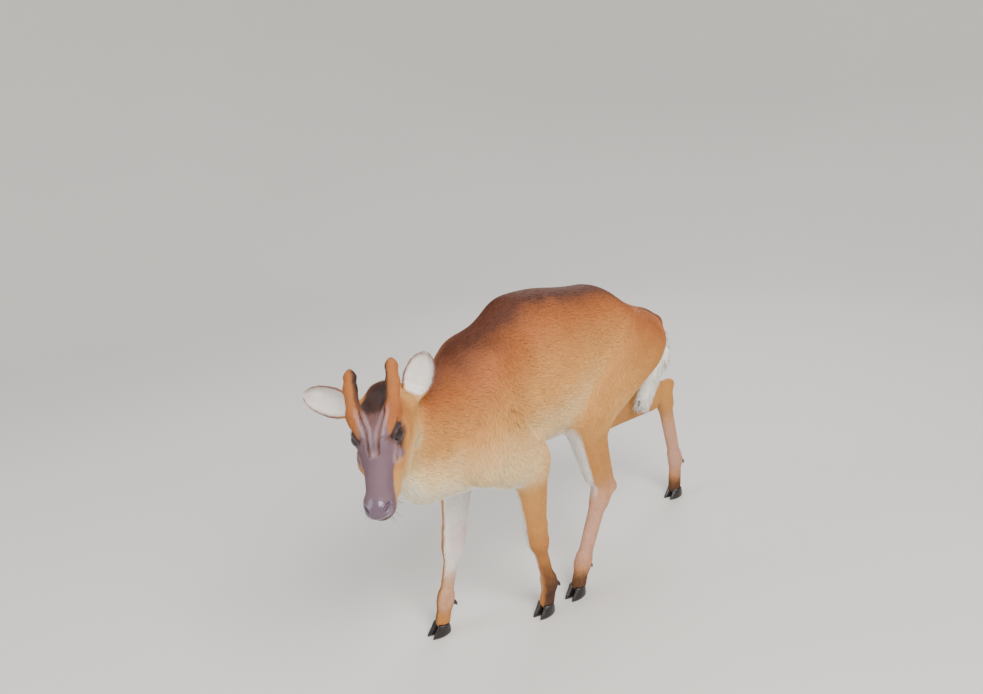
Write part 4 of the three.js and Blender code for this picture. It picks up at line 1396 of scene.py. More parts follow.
def triangles_of(mesh):
    mesh.calc_loop_triangles()
    corners = np.empty(len(mesh.loop_triangles) * 3, np.int32)
    mesh.loop_triangles.foreach_get("vertices", corners)
    return corners.reshape(-1, 3)


class Hide:
    """The finished skin in arrays: what the coat grows on."""

    def __init__(self):
        self.mesh = flesh_mesh()
        self.points = mesh_points(self.mesh)
        self.normals = mesh_normals(self.mesh)
        self.triangles = triangles_of(self.mesh)
        self.survey = Survey(self.points)
        self.marks = markings_of(self.points, self.normals, self.survey)

    def dress(self, look):
        """Joins the lids and ears to the skin and gives it its markings."""
        faces = [tuple(polygon.vertices) for polygon in self.mesh.polygons]
        points = [self.points]
        marks = {name: [values] for name, values in self.marks.items()}
        count = len(self.points)
        parts = []
        for socket in SOCKETS:
            corners, ring = lid_ring(socket)
            outward = np.tile(socket.axes[2], (len(corners), 1))
            parts.append((corners, ring, head_markings(corners, outward)))
        for ear in EARS.values():
            parts.append((ear.points, ear.faces, ear_markings(ear)))
        for corners, ring, tints in parts:
            faces += [tuple(k + count for k in face) for face in ring]
            points.append(corners)
            for name in MARKINGS:
                marks[name].append(np.clip(tints[name], 0, 1))
            count += len(corners)
        bpy.data.meshes.remove(self.mesh)
        self.mesh = None
        mesh = new_mesh("skin", to_frame(np.concatenate(points)), faces)
        mesh.shade_smooth()
        set_marks(mesh, {name: np.concatenate(values) for name, values in marks.items()})
        return object_of(mesh, "skin", coat_material("skin", look, tufted=False))


LEG_NODES = ("forearm", "fore_cannon", "fore_pastern", "shank", "hind_cannon", "hind_pastern")
FLESH_NODES = [
    *("torso", "neck", "head", "tail"),
    *(f"{side}_{part}" for part in ("ear", "pedicel") for side in SIDES.values()),
    *(f"{side}_{part}" for side in SIDES.values() for part in LEG_NODES),
]

# Coat


class Roots:
    """Even places on the chosen triangles of a surface, one for each square of the spacing."""

    def __init__(self, points, triangles, spacing, rng):
        a, b, c = (points[triangles[:, k]] for k in range(3))
        area = np.linalg.norm(np.cross(b - a, c - a), axis=1) / 2
        edges = np.cumsum(area / spacing[triangles].mean(1) ** 2)
        count = int(edges[-1])
        picks = np.arange(count) + rng.random(count)
        rows = np.searchsorted(edges, np.minimum(picks, edges[-1] - TINY))
        u, v = rng.random(count), rng.random(count)
        over = u + v > 1
        u[over], v[over] = 1 - u[over], 1 - v[over]
        self.corners = triangles[rows]
        self.weights = np.stack([1 - u - v, u, v], 1)

    def keep(self, chosen):
        self.corners = self.corners[chosen]
        self.weights = self.weights[chosen]

    def read(self, values):
        """What the corners of the surface carry, as it is at each root."""
        weights = self.weights if values.ndim == 1 else self.weights[..., None]
        return (values[self.corners] * weights).sum(1)

    def read_marks(self, marks, shade, rng):
        """The markings at each root, and a lighter or darker shade for each tuft."""
        values = {name: self.read(mark) for name, mark in marks.items()}
        values["shade"] = rng.normal(size=len(self.corners)) * shade
        return values


def flat_on(vectors, normals):
    """The directions, turned until they lie in the surface."""
    return unit(vectors - normals * (vectors * normals).sum(1)[:, None])


# How far the lie strays, in radians: from tuft to tuft, and slowly over the body
LIE_DRIFT = 0.16
LIE_WANDER = 0.14
WANDER_SIZE = 46
WANDER_SEED = 3
WANDER_WAVES = 5


def wander(points):
    """A smooth drift over the body, mostly between -1 and 1."""
    rng = np.random.default_rng(WANDER_SEED)
    total = np.zeros(len(points))
    for _ in range(WANDER_WAVES):
        wave = unit(rng.normal(size=3)) / WANDER_SIZE * (0.7 + 0.6 * rng.random())
        total += np.sin(points @ wave * 2 * math.pi + rng.random() * 7)
    return total / 3


# Pull of gravity on the lie, height of a tuft's middle and tip in coat depths, and depth of its root
HANG = point(0, 0, -0.3)
TUFT_LIFT = 0.62
TUFT_TIP = 0.55
ROOT_DEPTH = 0.5
DRAPE_LIMIT = 6
THINNING = 1.6


def varied(count, low, high, rng):
    """One random number for each tuft, from low to high."""
    return low + (high - low) * rng.random(count)


def lay_tufts(roots, normals, lies, lengths, widths, depth, rng, lift=1.0, tip=0.5, drape=True):
    """Tufts that leave the skin at their roots, rise to the top of the coat and lie down at their tips."""
    count = len(roots)
    lies = flat_on(lies, normals)
    across = np.cross(normals, lies)
    turn = (rng.normal(size=count) * LIE_DRIFT + wander(roots) * LIE_WANDER)[:, None]
    lies = lies * np.cos(turn) + across * np.sin(turn)
    across = np.cross(normals, lies)
    lengths = lengths * varied(count, 0.78, 1.22, rng)
    top = depth * varied(count, 0.7, 1.2, rng) * lift
    level = field(FLESH, roots) if drape else None
    stops = ((0, np.full(count, -ROOT_DEPTH)), (0.48, top * 0.95), (1, top * tip))
    paths = np.empty((count, len(stops), 3))
    for stop, (share, height) in enumerate(stops):
        at = roots + lies * (lengths * share)[:, None]
        if stop and drape:
            fall = np.clip(field(FLESH, at) - level, -DRAPE_LIMIT, DRAPE_LIMIT)
            at = at - normals * fall[:, None]
        paths[:, stop] = at + normals * height[:, None]
    widths = widths * varied(count, 0.8, 1.2, rng)
    return Strands(paths, across, normals, widths[:, None])


# Coat pieces: the groups that each covers, and its side of the body where it covers only one
REGIONS = {
    "coat_left_ribs": (("trunk",), 1),
    "coat_right_ribs": (("trunk",), -1),
    "coat_left_shoulder": (("shoulder",), 1),
    "coat_right_shoulder": (("shoulder",), -1),
    "coat_left_haunch": (("haunch",), 1),
    "coat_right_haunch": (("haunch",), -1),
    "coat_neck": (("neck",), 0),
    "coat_head": (("head", "pedicel"), 0),
    "coat_left_foreleg": (("left_fore",), 0),
    "coat_right_foreleg": (("right_fore",), 0),
    "coat_left_hindleg": (("left_hind",), 0),
    "coat_right_hindleg": (("right_hind",), 0),
    "coat_tail": (("tail",), 0),
}
BODY_REGIONS = [name for name in REGIONS if not any(part in name for part in ("leg", "head", "tail"))]
LEG_REGIONS = [name for name in REGIONS if "leg" in name]


def region_triangles(hide, groups, side):
    """The triangles of the skin that belong to these groups, on one side of the body or on both."""
    names = np.array([piece.group for piece in FLESH])[hide.survey.chart]
    own = np.isin(names, groups)
    if side:
        own &= (hide.points[:, 0] > 0) == (side > 0)
    first = hide.triangles[:, 0]
    return hide.triangles[own[first]]


def grow_region(hide, name, look, material, rng):
    """The tufts of one region of the skin."""
    groups, side = REGIONS[name]
    spacing = hide.survey.coat[:, 3] / look.density
    roots = Roots(hide.points, region_triangles(hide, groups, side), spacing, rng)
    bare = np.clip(hide.marks["leather"] * THINNING, 0, 1)
    roots.keep(rng.random(len(roots.corners)) > roots.read(bare))
    points = roots.read(hide.points)
    normals = unit(roots.read(hide.normals))
    survey = Survey(points)
    depth, lengths, widths, _ = survey.coat.T
    lies = survey.lie + HANG * (1 - survey.head_share())[:, None]
    lengths = lengths * look.hair
    lift, tip = TUFT_LIFT, TUFT_TIP
    if "head" in groups:
        lengths, lift, tip = face_hair(points, lengths)
    strands = lay_tufts(points, normals, lies, lengths, widths, depth, rng, lift, tip)
    marks = roots.read_marks(hide.marks, 0.8, rng)
    charts = chart_places(survey.chart, survey.share, survey.angle)
    return strands.build(name, material, marks, charts)


def face_hair(roots, lengths):
    """Hair is shortest on the nose and round the eyes, and longer on the crown and cheeks."""
    forward, up, left = head_places(roots).T
    lengths = lengths * lerp(1.25, 0.62, ease(60, 165, forward))
    crown = ease(70, 45, forward) * ease(24, 14, np.abs(left)) * ease(16, 28, up)
    lengths = lengths * (1 + 1.1 * crown)
    cheek = ease(-18, -40, up) * ease(110, 60, forward)
    return lengths * (1 + 0.8 * cheek), 1 + 2.6 * crown, 0.5 + 0.5 * crown


EAR_SPACING = 1.25
EAR_TUFT_WIDTH = 0.8


def grow_ear(sign, look, material, rng):
    """Short hair over the back of one ear and longer white hair in its cup."""
    ear = EARS[sign]
    quads = np.array([face for face in ear.faces if len(face) == 4])
    triangles = np.concatenate([quads[:, :3], quads[:, [0, 2, 3]]])
    a, b, c = (ear.points[triangles[:, k]] for k in range(3))
    normals = np.zeros_like(ear.points)
    for k in range(3):
        np.add.at(normals, triangles[:, k], np.cross(b - a, c - a))
    roots = Roots(ear.points, triangles, np.full(len(ear.points), EAR_SPACING) / look.density, rng)
    count = len(roots.corners)
    inner = roots.read(ear.inner)
    share = roots.read(ear.share)
    lengths = lerp(5.0, 8.5, inner) * lerp(1.1, 0.55, ease(0.6, 0.95, share)) * look.hair
    widths = np.full(count, EAR_TUFT_WIDTH)
    depth = lerp(0.6, 0.8, inner)
    upward = unit(roots.read(unit(normals)))
    points, lies = roots.read(ear.points), roots.read(ear.lie)
    strands = lay_tufts(points, upward, lies, lengths, widths, depth, rng, drape=False)
    marks = roots.read_marks(ear_markings(ear), 0.6, rng)
    angle = (inner - 0.5) * math.pi * 0.9 + rng.normal(size=count) * 0.02
    charts = chart_places(np.zeros(count, int), share, angle)
    return strands.build(f"coat_{SIDES[sign]}_ear", material, marks, charts)


FRINGE_SPACING = 1.45
FRINGE_STOPS = 5
FRINGE_WIDTH = 1.6
FRINGE_HANG = point(0, 0, -0.35)


def grow_fringe(hide, look, material, rng):
    """Long white locks from the edges, underside and tip of the tail."""
    triangles = region_triangles(hide, ("tail",), 0)
    spacing = np.full(len(hide.points), FRINGE_SPACING)
    roots = Roots(hide.points, triangles, spacing / look.density, rng)
    roots.keep(rng.random(len(roots.corners)) < ease(0.15, 0.7, roots.read(hide.marks["white"])))
    points = roots.read(hide.points)
    normals = unit(roots.read(hide.normals))
    survey = Survey(points)
    count = len(points)
    lie = unit(survey.lie + FRINGE_HANG)
    outward = flat_on(normals, lie)
    side = np.abs(outward[:, 0])
    lengths = (17 + 9 * side) * varied(count, 0.75, 1.25, rng) * look.hair
    paths = np.empty((count, FRINGE_STOPS, 3))
    drift = rng.normal(size=(count, 3)) * 0.07
    bow = 0.2 * side[:, None] + 0.1
    for stop, share in enumerate(np.linspace(0, 1, FRINGE_STOPS)):
        direction = unit(lie + outward * bow * (1 - 0.55 * share) + drift * share)
        paths[:, stop] = points + direction * (lengths * share)[:, None] - UP * 2 * share**2
    paths[:, 0] -= normals * 0.6
    facing = unit(normals + point(0, 0.3, 0))
    across = unit(np.cross(facing, lie) + LEFT * 0.05)
    upward = unit(np.cross(lie, across))
    widths = FRINGE_WIDTH * varied(count, 0.7, 1.3, rng)[:, None] * np.array([0.8, 1.0, 0.7])
    strands = Strands(paths, across, upward, widths)
    marks = roots.read_marks(hide.marks, 0.6, rng)
    charts = chart_places(survey.chart, survey.share, survey.angle)
    return strands.build("coat_tail_fringe", material, marks, charts, hanging=True)


HAIR_STOPS = 6


def thin_hairs(name, roots, directions, bends, lengths, width, material):
    """Single stiff hairs, as lashes and whiskers."""
    count = len(roots)
    paths = np.empty((count, HAIR_STOPS, 3))
    for stop, share in enumerate(np.linspace(0, 1, HAIR_STOPS)):
        bent = bends * (lengths * share**2)[:, None]
        paths[:, stop] = roots + directions * (lengths * share)[:, None] + bent
    across = unit(np.cross(directions, bends + 1e-4))
    upward = np.cross(directions, across)
    widths = width * np.tile(np.linspace(1, 0.45, HAIR_STOPS - 2), (count, 1))
    strands = Strands(paths, across, upward, widths, thickness=0.9)
    marks = {mark: np.zeros(count) for mark in (*MARKINGS, "shade")}
    marks["dark"] = np.ones(count)
    charts = chart_places(np.zeros(count, int), np.linspace(0, 1, count), np.zeros(count))
    return strands.build(name, material, marks, charts)


LASHES = 34
WHISKERS = 54


def lashes(material, rng):
    """A row of short hairs on the upper lid of each eye."""
    roots, directions, bends, lengths = [], [], [], []
    for socket in SOCKETS:
        around = np.linspace(0.4, math.pi - 0.4, LASHES)
        roots.append(socket.at(around, np.full(LASHES, 0.99), np.full(LASHES, EYE_RADIUS + 1.5)))
        outer = socket.at(around, np.full(LASHES, 1.25), np.full(LASHES, EYE_RADIUS + 6.0))
        directions.append(unit(outer - roots[-1] + rng.normal(size=(LASHES, 3)) * 0.5))
        bends.append(np.tile(socket.axes[1] * 0.35, (LASHES, 1)))
        lengths.append(3.4 + 1.4 * rng.random(LASHES))
    rows = (np.concatenate(part) for part in (roots, directions, bends, lengths))
    return thin_hairs("lashes", *rows, 0.17, material)


def whiskers(hide, material, rng):
    """Stiff hairs on both sides of the lips."""
    forward, up, left = head_places(hide.points).T
    on_lip = (forward > 150) & (up < -30) & (np.abs(left) > 9) & (hide.marks["leather"] < 0.2)
    rows = rng.choice(np.nonzero(on_lip)[0], WHISKERS, replace=False)
    directions = unit(hide.normals[rows] + FACE[0] * 0.25 + rng.normal(size=(WHISKERS, 3)) * 0.18)
    bends = np.tile(UP * -0.22 - FACE[0] * 0.12, (WHISKERS, 1))
    lengths = varied(WHISKERS, 9, 18, rng)
    return thin_hairs("whiskers", hide.points[rows], directions, bends, lengths, 0.2, material)


# Eyes and horn

EYE_SEGMENTS = 64
EYE_RINGS = 40
CORNEA_BULGE = 0.045


def eyeball(socket):
    """A ball turned so that its pole looks out, with a low bulge for the cornea."""
    away = np.linspace(0, math.pi, EYE_RINGS + 1)[1:-1]
    around = np.arange(EYE_SEGMENTS) * 2 * math.pi / EYE_SEGMENTS
    grid_away, grid_around = np.meshgrid(away, around, indexing="ij")
    radius = EYE_RADIUS * (1 - CORNEA_BULGE + CORNEA_BULGE * bell(grid_away, 0.75))
    places = (on_sphere(grid_away, grid_around) * radius[..., None]).reshape(-1, 3)
    poles = np.array([[0, 0, EYE_RADIUS], [0, 0, -EYE_RADIUS * (1 - CORNEA_BULGE)]])
    places = np.concatenate([places, poles])
    rows = EYE_RINGS - 1
    mirrored = socket.sign < 0
    faces = ring_faces(rows, EYE_SEGMENTS, flip=mirrored)
    first = rows * EYE_SEGMENTS
    last = first + 1
    base = first - EYE_SEGMENTS
    for k in range(EYE_SEGMENTS):
        following = (k + 1) % EYE_SEGMENTS
        caps = (first, following, k), (last, base + k, base + following)
        faces += [cap[::-1] if mirrored else cap for cap in caps]
    points = socket.centre + places @ socket.axes
    mesh = new_mesh("eyeball", to_frame(points), faces)
    mesh.shade_smooth()
    front = places[:, 2] > 0
    set_marks(mesh, {
        "across": np.where(front, places[:, 0] / EYE_RADIUS, 1),
        "upright": np.where(front, places[:, 1] / EYE_RADIUS, 1),
    })
    return mesh


CLAW_SPREAD = 8.1
CLAW_ROWS = np.array(
    [
        # height, heel, toe, half width
        (0.0, -15.5, 25.0, 7.2),
        (5.0, -16.5, 22.0, 7.8),
        (14.0, -15.5, 14.0, 7.5),
        (20.35, -13.0, 9.0, 6.8),
    ]
)
CLAW_SIDES = 40
CLAW_HEIGHTS = [0.0, 0.5, 1.6, 3.2, 5.0, 7.0, 9.0, 11.0, 13.0, 15.0, 17.0, 18.8, 20.35]
# Height of the growth rings, how much the toe narrows, and where the inner side is cut flat
CLAW_RING = 0.16
CLAW_TAPER = 0.42
CLAW_FLAT = 0.84
# The hollow of the sole: share of the outline and height over it
SOLE_ROWS = [(0.2, 1.4), (0.6, 1.1), (0.8, 0.15)]
FOOT_TURN = 0.06


def end_faces(rows, sides):
    """The first and the last ring as one face each."""
    first = tuple(range(sides))
    return first, tuple(side + (rows - 1) * sides for side in first)


def claw_mesh(toe, heading, sign):
    """A hoof: a wall with growth rings, a flat inner side and a sole hollowed a little."""
    sideways = np.cross(heading, point(0, 0, sign))
    angle = np.arange(CLAW_SIDES) * 2 * math.pi / CLAW_SIDES
    loops = []
    for height in CLAW_HEIGHTS:
        heel, tip, half = (np.interp(height, CLAW_ROWS[:, 0], CLAW_ROWS[:, k]) for k in (1, 2, 3))
        inset = 0.5 if height == 0 else 0.0
        ring = CLAW_RING * math.sin(height * 1.9) if 1 < height < 19 else 0
        along = lerp(heel + inset, tip - inset, (1 + np.cos(angle)) / 2)
        taper = 1 - CLAW_TAPER * np.maximum(np.cos(angle), 0) ** 2
        out = np.sin(angle) * sign * (half - inset + ring) * taper
        flat = np.maximum(out, -half * CLAW_FLAT)
        base = point(toe[0], toe[1], height)
        loops.append(base + along[:, None] * heading + (CLAW_SPREAD + flat)[:, None] * sideways)
    bottom, top = loops[0], loops[-1]
    sole = [lerp(bottom.mean(0), bottom, share) + UP * lift for share, lift in SOLE_ROWS]
    crown = lerp(top.mean(0), top, 0.7) + UP * 0.05
    rows = [*sole, *loops, crown]
    faces = ring_faces(len(rows), CLAW_SIDES, flip=True)
    first, last = end_faces(len(rows), CLAW_SIDES)
    faces += [first, last[::-1]]
    return np.concatenate(rows), faces


DEWCLAW_STOPS = [(0, 0), (-4.5, 2), (-9, 5.5), (-12, 9.5), (-13.6, 12.4)]
DEWCLAW_RADII = [4.8, 4.9, 4.2, 2.9, 1.0]
DEWCLAW_ROOT = 7
DEWCLAW_SIDES = 20


def dewclaw_mesh(fetlock, heading, sign):
    """A blunt cone that hangs behind and below the fetlock."""
    sideways = np.cross(heading, point(0, 0, sign))
    root = fetlock + (sideways - heading) * DEWCLAW_ROOT
    tilt = unit(UP * 0.85 - heading * 0.5)
    angle = np.arange(DEWCLAW_SIDES)[:, None] * 2 * math.pi / DEWCLAW_SIDES
    outline = np.cos(angle) * sideways + np.sin(angle) * tilt
    loops = []
    for (along, down), radius in zip(DEWCLAW_STOPS, DEWCLAW_RADII):
        loops.append(root + heading * along - UP * down + radius * outline)
    faces = ring_faces(len(loops), DEWCLAW_SIDES, flip=sign < 0)
    first, last = end_faces(len(loops), DEWCLAW_SIDES)
    faces += [first, last[::-1]] if sign < 0 else [first[::-1], last]
    return np.concatenate(loops), faces


def horn_pieces(material):
    """Every hoof and dewclaw, each in the place of its own solid."""
    for foot, legs in (("fore", FORELEGS), ("hind", HINDLEGS)):
        for sign, side in SIDES.items():
            fetlock, toe = (np.array(at, float) for at in legs[sign][3:])
            turn = FOOT_TURN * sign
            heading = point(math.sin(turn), -math.cos(turn), 0)
            for where, facing in (("inner", -sign), ("outer", sign)):
                made = {
                    "hoof": claw_mesh(toe, heading, facing),
                    "dewclaw": dewclaw_mesh(fetlock, heading, facing),
                }
                for part, (points, faces) in made.items():
                    node = f"{side}_{foot}_{where}_{part}"
                    mesh = new_mesh(node, to_frame(points), faces)
                    mesh.shade_smooth()
                    set_marks(mesh, {"height": points[:, 2] / HOOF_TOP})
                    piece = object_of(mesh, f"{node}_horn", material)
                    declare(piece)
                    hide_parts(node)


# Stage

FLOOR_FLAT = 2.4
FLOOR_CURVE = 1.3
FLOOR_TOP = 3.2
FLOOR_SIDES = 96
FLOOR_STEPS = 12


def floor_bowl(material):
    """A round floor that curves up into a wall behind and around."""
    profile = [(radius, 0.0) for radius in (0.25, 0.8, 1.6, FLOOR_FLAT)]
    for step in range(1, FLOOR_STEPS + 1):
        turn = math.pi / 2 * step / FLOOR_STEPS
        profile.append((FLOOR_FLAT + FLOOR_CURVE * math.sin(turn), FLOOR_CURVE * (1 - math.cos(turn))))
    profile.append((FLOOR_FLAT + FLOOR_CURVE, FLOOR_TOP))
    angle = np.arange(FLOOR_SIDES) * 2 * math.pi / FLOOR_SIDES
    rings = [
        np.stack([radius * np.cos(angle), radius * np.sin(angle), np.full(FLOOR_SIDES, height)], 1)
        for radius, height in profile
    ]
    faces = ring_faces(len(rings), FLOOR_SIDES, flip=True)
    faces.append(tuple(range(FLOOR_SIDES)))
    mesh = new_mesh("floor", np.concatenate(rings), faces)
    mesh.shade_smooth()
    return object_of(mesh, "floor", material)


def floor_material(colour):
    paint = Paint("floor")
    patches = (paint.noise(1.6, 3) - 0.5) * 0.05
    return paint.surface(
        Base_Color=paint.brighten(tuple(colour)[:3], 1.0 + patches),
        Roughness=0.85,
        Normal=paint.bump(paint.noise(240, 2), 0.0003, 0.15),
    )


def aim(source, target):
    """Rotation that turns a light from its place towards a point."""
    return (mathutils.Vector(target) - mathutils.Vector(source)).to_track_quat("-Z", "Y").to_euler()


# Place, diameter and colour of each light
LIGHTS = {
    "key": ((1.9, -0.7, 2.3), 1.6, (1.0, 0.97, 0.93)),
    "fill": ((-1.2, -2.2, 1.5), 1.8, (0.96, 0.98, 1.0)),
    "rim": ((-0.9, 1.9, 2.2), 1.4, (1.0, 0.98, 0.96)),
}
LIGHT_TARGET = (0, 0, 0.3)


def add_light(name, place, size, colour, power):
    lamp = bpy.data.lights.new(name, "AREA")
    lamp.shape = "DISK"
    lamp.size = size
    lamp.energy = power
    lamp.color = colour
    holder = bpy.data.objects.new(name, lamp)
    holder.location = place
    holder.rotation_euler = aim(place, LIGHT_TARGET)
    bpy.context.scene.collection.objects.link(holder)


# Place in the anatomy's millimetres, turns in radians, and lens and sensor width
CAMERA_PLACE = point(1197.39, -1275.76, 997.66)
CAMERA_TURN = 0.812457
CAMERA_DOWN = 0.290687
CAMERA_ROLL = -0.084013
CAMERA_LENS = 37.27
CAMERA_SENSOR = 36.0


def camera_axes():
    """Right, up and back of the camera, from its turn, its tilt and its roll."""
    forward = point(
        -math.sin(CAMERA_TURN) * math.cos(CAMERA_DOWN),
        math.cos(CAMERA_TURN) * math.cos(CAMERA_DOWN),
        -math.sin(CAMERA_DOWN),
    )
    level = point(math.cos(CAMERA_TURN), math.sin(CAMERA_TURN), 0)
    upright = np.cross(level, forward)
    right = level * math.cos(CAMERA_ROLL) + upright * math.sin(CAMERA_ROLL)
    up = upright * math.cos(CAMERA_ROLL) - level * math.sin(CAMERA_ROLL)
    return right, up, -forward


def add_camera():
    lens = bpy.data.cameras.new("camera")
    lens.lens = CAMERA_LENS
    lens.sensor_width = CAMERA_SENSOR
    lens.sensor_fit = "HORIZONTAL"
    lens.clip_start = 0.05
    holder = bpy.data.objects.new("camera", lens)
    right, up, back = camera_axes()
    place = to_frame(CAMERA_PLACE)
    rows = [(right[k], up[k], back[k], place[k]) for k in range(3)]
    holder.matrix_world = mathutils.Matrix([*rows, (0, 0, 0, 1)])
    bpy.context.scene.collection.objects.link(holder)
    bpy.context.scene.camera = holder


def set_world(strength):
    world = bpy.data.worlds.new("studio")
    world.use_nodes = True
    sky = world.node_tree.nodes["Background"]
    sky.inputs["Color"].default_value = (0.95, 0.97, 1.0, 1.0)
    sky.inputs["Strength"].default_value = strength
    bpy.context.scene.world = world


# Settings


def colour_property(name, description, value):
    return bpy.props.FloatVectorProperty(
        name=name, description=description, default=srgb(*value), size=4, min=0, max=1, subtype="COLOR"
    )


def factor_property(name, description, low, high):
    return bpy.props.FloatProperty(
        name=name, description=description, default=1.0, min=low, max=high, subtype="FACTOR"
    )


def power_property(name, description, value):
    return bpy.props.FloatProperty(
        name=name, description=description, default=value, min=0, unit="POWER"
    )


class MuntjacLook(bpy.types.PropertyGroup):
    """Colours and hair of the animal."""

    spine: colour_property("Spine", "Hair along the back", (84, 42, 24))
    upper: colour_property("Upper side", "Hair of the shoulder and upper flank", (172, 98, 48))
    flank: colour_property("Flank", "Hair of the flank and haunch", (214, 152, 82))
    lower: colour_property("Lower side", "Hair of the lower neck and chest", (238, 204, 148))
    under: colour_property("Belly", "Hair of the throat and belly", (248, 232, 202))
    white: colour_property("White", "Hair of the tail's fringe and inner legs", (252, 248, 242))
    grey: colour_property("Face", "Hair of the forehead and nose", (124, 98, 108))
    dark: colour_property("Dark", "Hair of the crown, glands and lower legs", (52, 36, 34))
    pink: colour_property("Pink", "Thinly haired skin", (216, 176, 176))
    leather: colour_property("Leather", "Bare skin of the nose and lids", (108, 86, 104))
    horn: colour_property("Hoof", "Horn of the hooves", (30, 25, 26))
    horn_worn: colour_property("Worn hoof", "Horn at the edge of the sole", (92, 78, 72))
    iris: colour_property("Iris", "Outer iris", (58, 32, 18))
    iris_dark: colour_property("Iris rays", "Dark rays of the iris", (26, 15, 12))
    eye_rim: colour_property("Eye rim", "Edge of the iris", (10, 8, 9))
    # The two pupil colours are a painted bluish reflection, lighter in the middle
    pupil_reflection_edge: colour_property("Pupil edge", "Edge of the pupil", (8, 9, 14))
    pupil_reflection_middle: colour_property("Pupil", "Middle of the pupil", (9, 11, 18))
    hair: factor_property("Hair length", "Factor on the length of every tuft", 0.5, 1.5)
    density: factor_property("Hair density", "Factor on the closeness of the tufts", 0.3, 1.2)
    seed: bpy.props.IntProperty(name="Seed", description="Start of every random draw", default=7, min=0)


class MuntjacStage(bpy.types.PropertyGroup):
    """Floor and light."""

    floor: colour_property("Floor", "Colour of the floor", (216, 214, 210))
    key: power_property("Key light", "Power of the light beside the camera", 98.0)
    fill: power_property("Fill light", "Power of the light on the other side", 26.0)
    rim: power_property("Rim light", "Power of the light behind the animal", 32.0)
    sky: bpy.props.FloatProperty(
        name="Sky", description="Strength of the light from all sides", default=0.7, min=0
    )


# Operators

# Numbers of the random draws, which come after those of the regions
EAR_DRAWS = 40
LASH_DRAWS = 50
WHISKER_DRAWS = 51
FRINGE_DRAWS = 60


def draws(look, number):
    return np.random.default_rng([look.seed, number])


class Workshop:
    """The hide that the first operator makes and the later ones grow hair on."""

    hide = None

    @classmethod
    def finished_hide(cls):
        if cls.hide is None:
            raise RuntimeError("The skin comes before its coat")
        return cls.hide

    @classmethod
    def grow(cls, look, names):
        hide = cls.finished_hide()
        material = bpy.data.materials.get("tufts") or coat_material("tufts", look, tufted=True)
        for name in names:
            rng = draws(look, list(REGIONS).index(name))
            declare(grow_region(hide, name, look, material, rng))
        return material


class MUNTJAC_OT_skin(bpy.types.Operator):
    """Makes one skin with its folds, lids and ears in place of the solids of flesh"""

    bl_idname = "muntjac.skin"
    bl_label = "Skin"

    def execute(self, context):
        look = context.scene.muntjac_look
        Workshop.hide = Hide()
        skin = Workshop.hide.dress(look)
        declare(skin)
        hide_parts(*FLESH_NODES)
        return {"FINISHED"}


class MUNTJAC_OT_body_coat(bpy.types.Operator):
    """Grows the coat of the trunk, shoulders, haunches and neck"""

    bl_idname = "muntjac.body_coat"
    bl_label = "Body coat"

    def execute(self, context):
        Workshop.grow(context.scene.muntjac_look, BODY_REGIONS)
        return {"FINISHED"}


class MUNTJAC_OT_leg_coat(bpy.types.Operator):
    """Grows the short coat of the legs"""

    bl_idname = "muntjac.leg_coat"
    bl_label = "Leg coat"

    def execute(self, context):
        Workshop.grow(context.scene.muntjac_look, LEG_REGIONS)
        return {"FINISHED"}


class MUNTJAC_OT_head_coat(bpy.types.Operator):
    """Grows the coat of the head and ears, with lashes and whiskers"""

    bl_idname = "muntjac.head_coat"
    bl_label = "Head coat"

    def execute(self, context):
        look = context.scene.muntjac_look
        material = Workshop.grow(look, ["coat_head"])
        hide = Workshop.finished_hide()
        for sign in EARS:
            declare(grow_ear(sign, look, material, draws(look, EAR_DRAWS + sign)))
        declare(lashes(material, draws(look, LASH_DRAWS)))
        declare(whiskers(hide, material, draws(look, WHISKER_DRAWS)))
        return {"FINISHED"}


class MUNTJAC_OT_tail_coat(bpy.types.Operator):
    """Grows the coat of the tail and its long white fringe"""

    bl_idname = "muntjac.tail_coat"
    bl_label = "Tail coat"

    def execute(self, context):
        look = context.scene.muntjac_look
        material = Workshop.grow(look, ["coat_tail"])
        fringe = grow_fringe(Workshop.finished_hide(), look, material, draws(look, FRINGE_DRAWS))
        declare(fringe)
        return {"FINISHED"}


class MUNTJAC_OT_eyes(bpy.types.Operator):
    """Makes both eyes in place of their solids"""

    bl_idname = "muntjac.eyes"
    bl_label = "Eyes"

    def execute(self, context):
        material = eye_material(context.scene.muntjac_look)
        for socket in SOCKETS:
            node = f"{SIDES[socket.sign]}_eye"
            piece = object_of(eyeball(socket), f"{node}_ball", material)
            declare(piece)
            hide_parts(node)
        return {"FINISHED"}


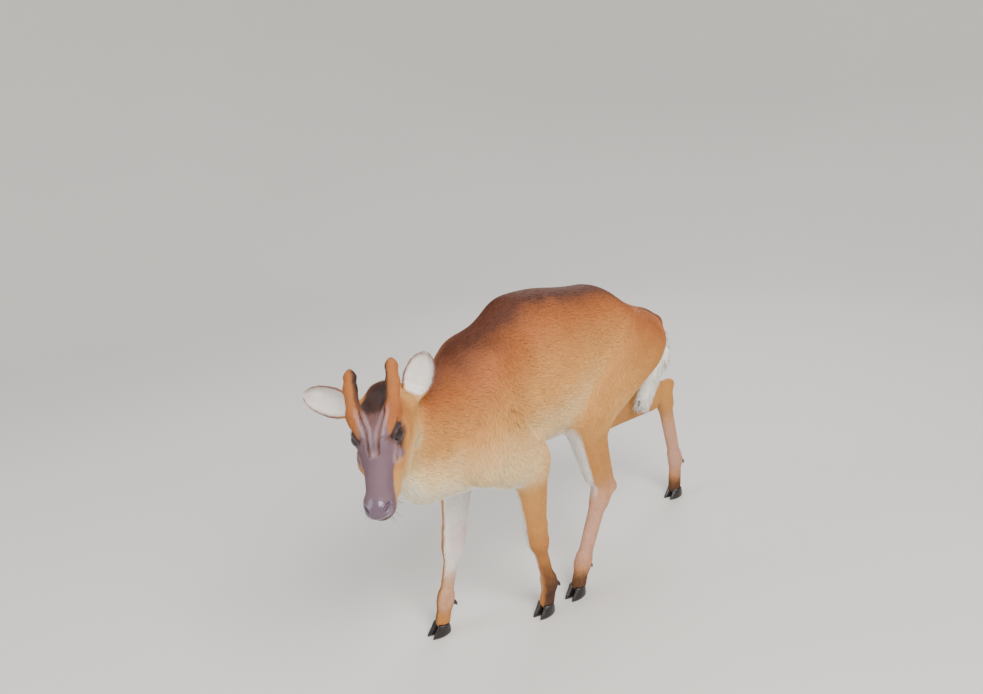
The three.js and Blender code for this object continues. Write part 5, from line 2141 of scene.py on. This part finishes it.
class MUNTJAC_OT_hooves(bpy.types.Operator):
    """Makes the hooves and dewclaws in place of their solids"""

    bl_idname = "muntjac.hooves"
    bl_label = "Hooves"

    def execute(self, context):
        horn_pieces(horn_material(context.scene.muntjac_look))
        return {"FINISHED"}


class MUNTJAC_OT_stage(bpy.types.Operator):
    """Sets the floor, the lights and the camera"""

    bl_idname = "muntjac.stage"
    bl_label = "Stage"

    def execute(self, context):
        stage = context.scene.muntjac_stage
        floor_bowl(floor_material(stage.floor))
        for name, settings in LIGHTS.items():
            add_light(name, *settings, getattr(stage, name))
        set_world(stage.sky)
        add_camera()
        return {"FINISHED"}


STEPS = (
    MUNTJAC_OT_skin,
    MUNTJAC_OT_body_coat,
    MUNTJAC_OT_leg_coat,
    MUNTJAC_OT_head_coat,
    MUNTJAC_OT_tail_coat,
    MUNTJAC_OT_eyes,
    MUNTJAC_OT_hooves,
    MUNTJAC_OT_stage,
)


class MUNTJAC_PT_panel(bpy.types.Panel):
    """Lists the settings and the steps in their order"""

    bl_idname = "MUNTJAC_PT_panel"
    bl_label = "Muntjac"
    bl_space_type = "VIEW_3D"
    bl_region_type = "UI"
    bl_category = "Muntjac"

    def draw(self, context):
        for group in (context.scene.muntjac_look, context.scene.muntjac_stage):
            box = self.layout.box()
            for name in group.__annotations__:
                box.prop(group, name)
        for step in STEPS:
            self.layout.operator(step.bl_idname)


CLASSES = (MuntjacLook, MuntjacStage, *STEPS, MUNTJAC_PT_panel)


def register():
    for item in CLASSES:
        bpy.utils.register_class(item)
    bpy.types.Scene.muntjac_look = bpy.props.PointerProperty(type=MuntjacLook)
    bpy.types.Scene.muntjac_stage = bpy.props.PointerProperty(type=MuntjacStage)


def unregister():
    del bpy.types.Scene.muntjac_stage
    del bpy.types.Scene.muntjac_look
    for item in reversed(CLASSES):
        bpy.utils.unregister_class(item)


def main():
    register()
    for step in STEPS:
        group, name = step.bl_idname.split(".")
        getattr(getattr(bpy.ops, group), name)()


if __name__ == "__main__":
    main()
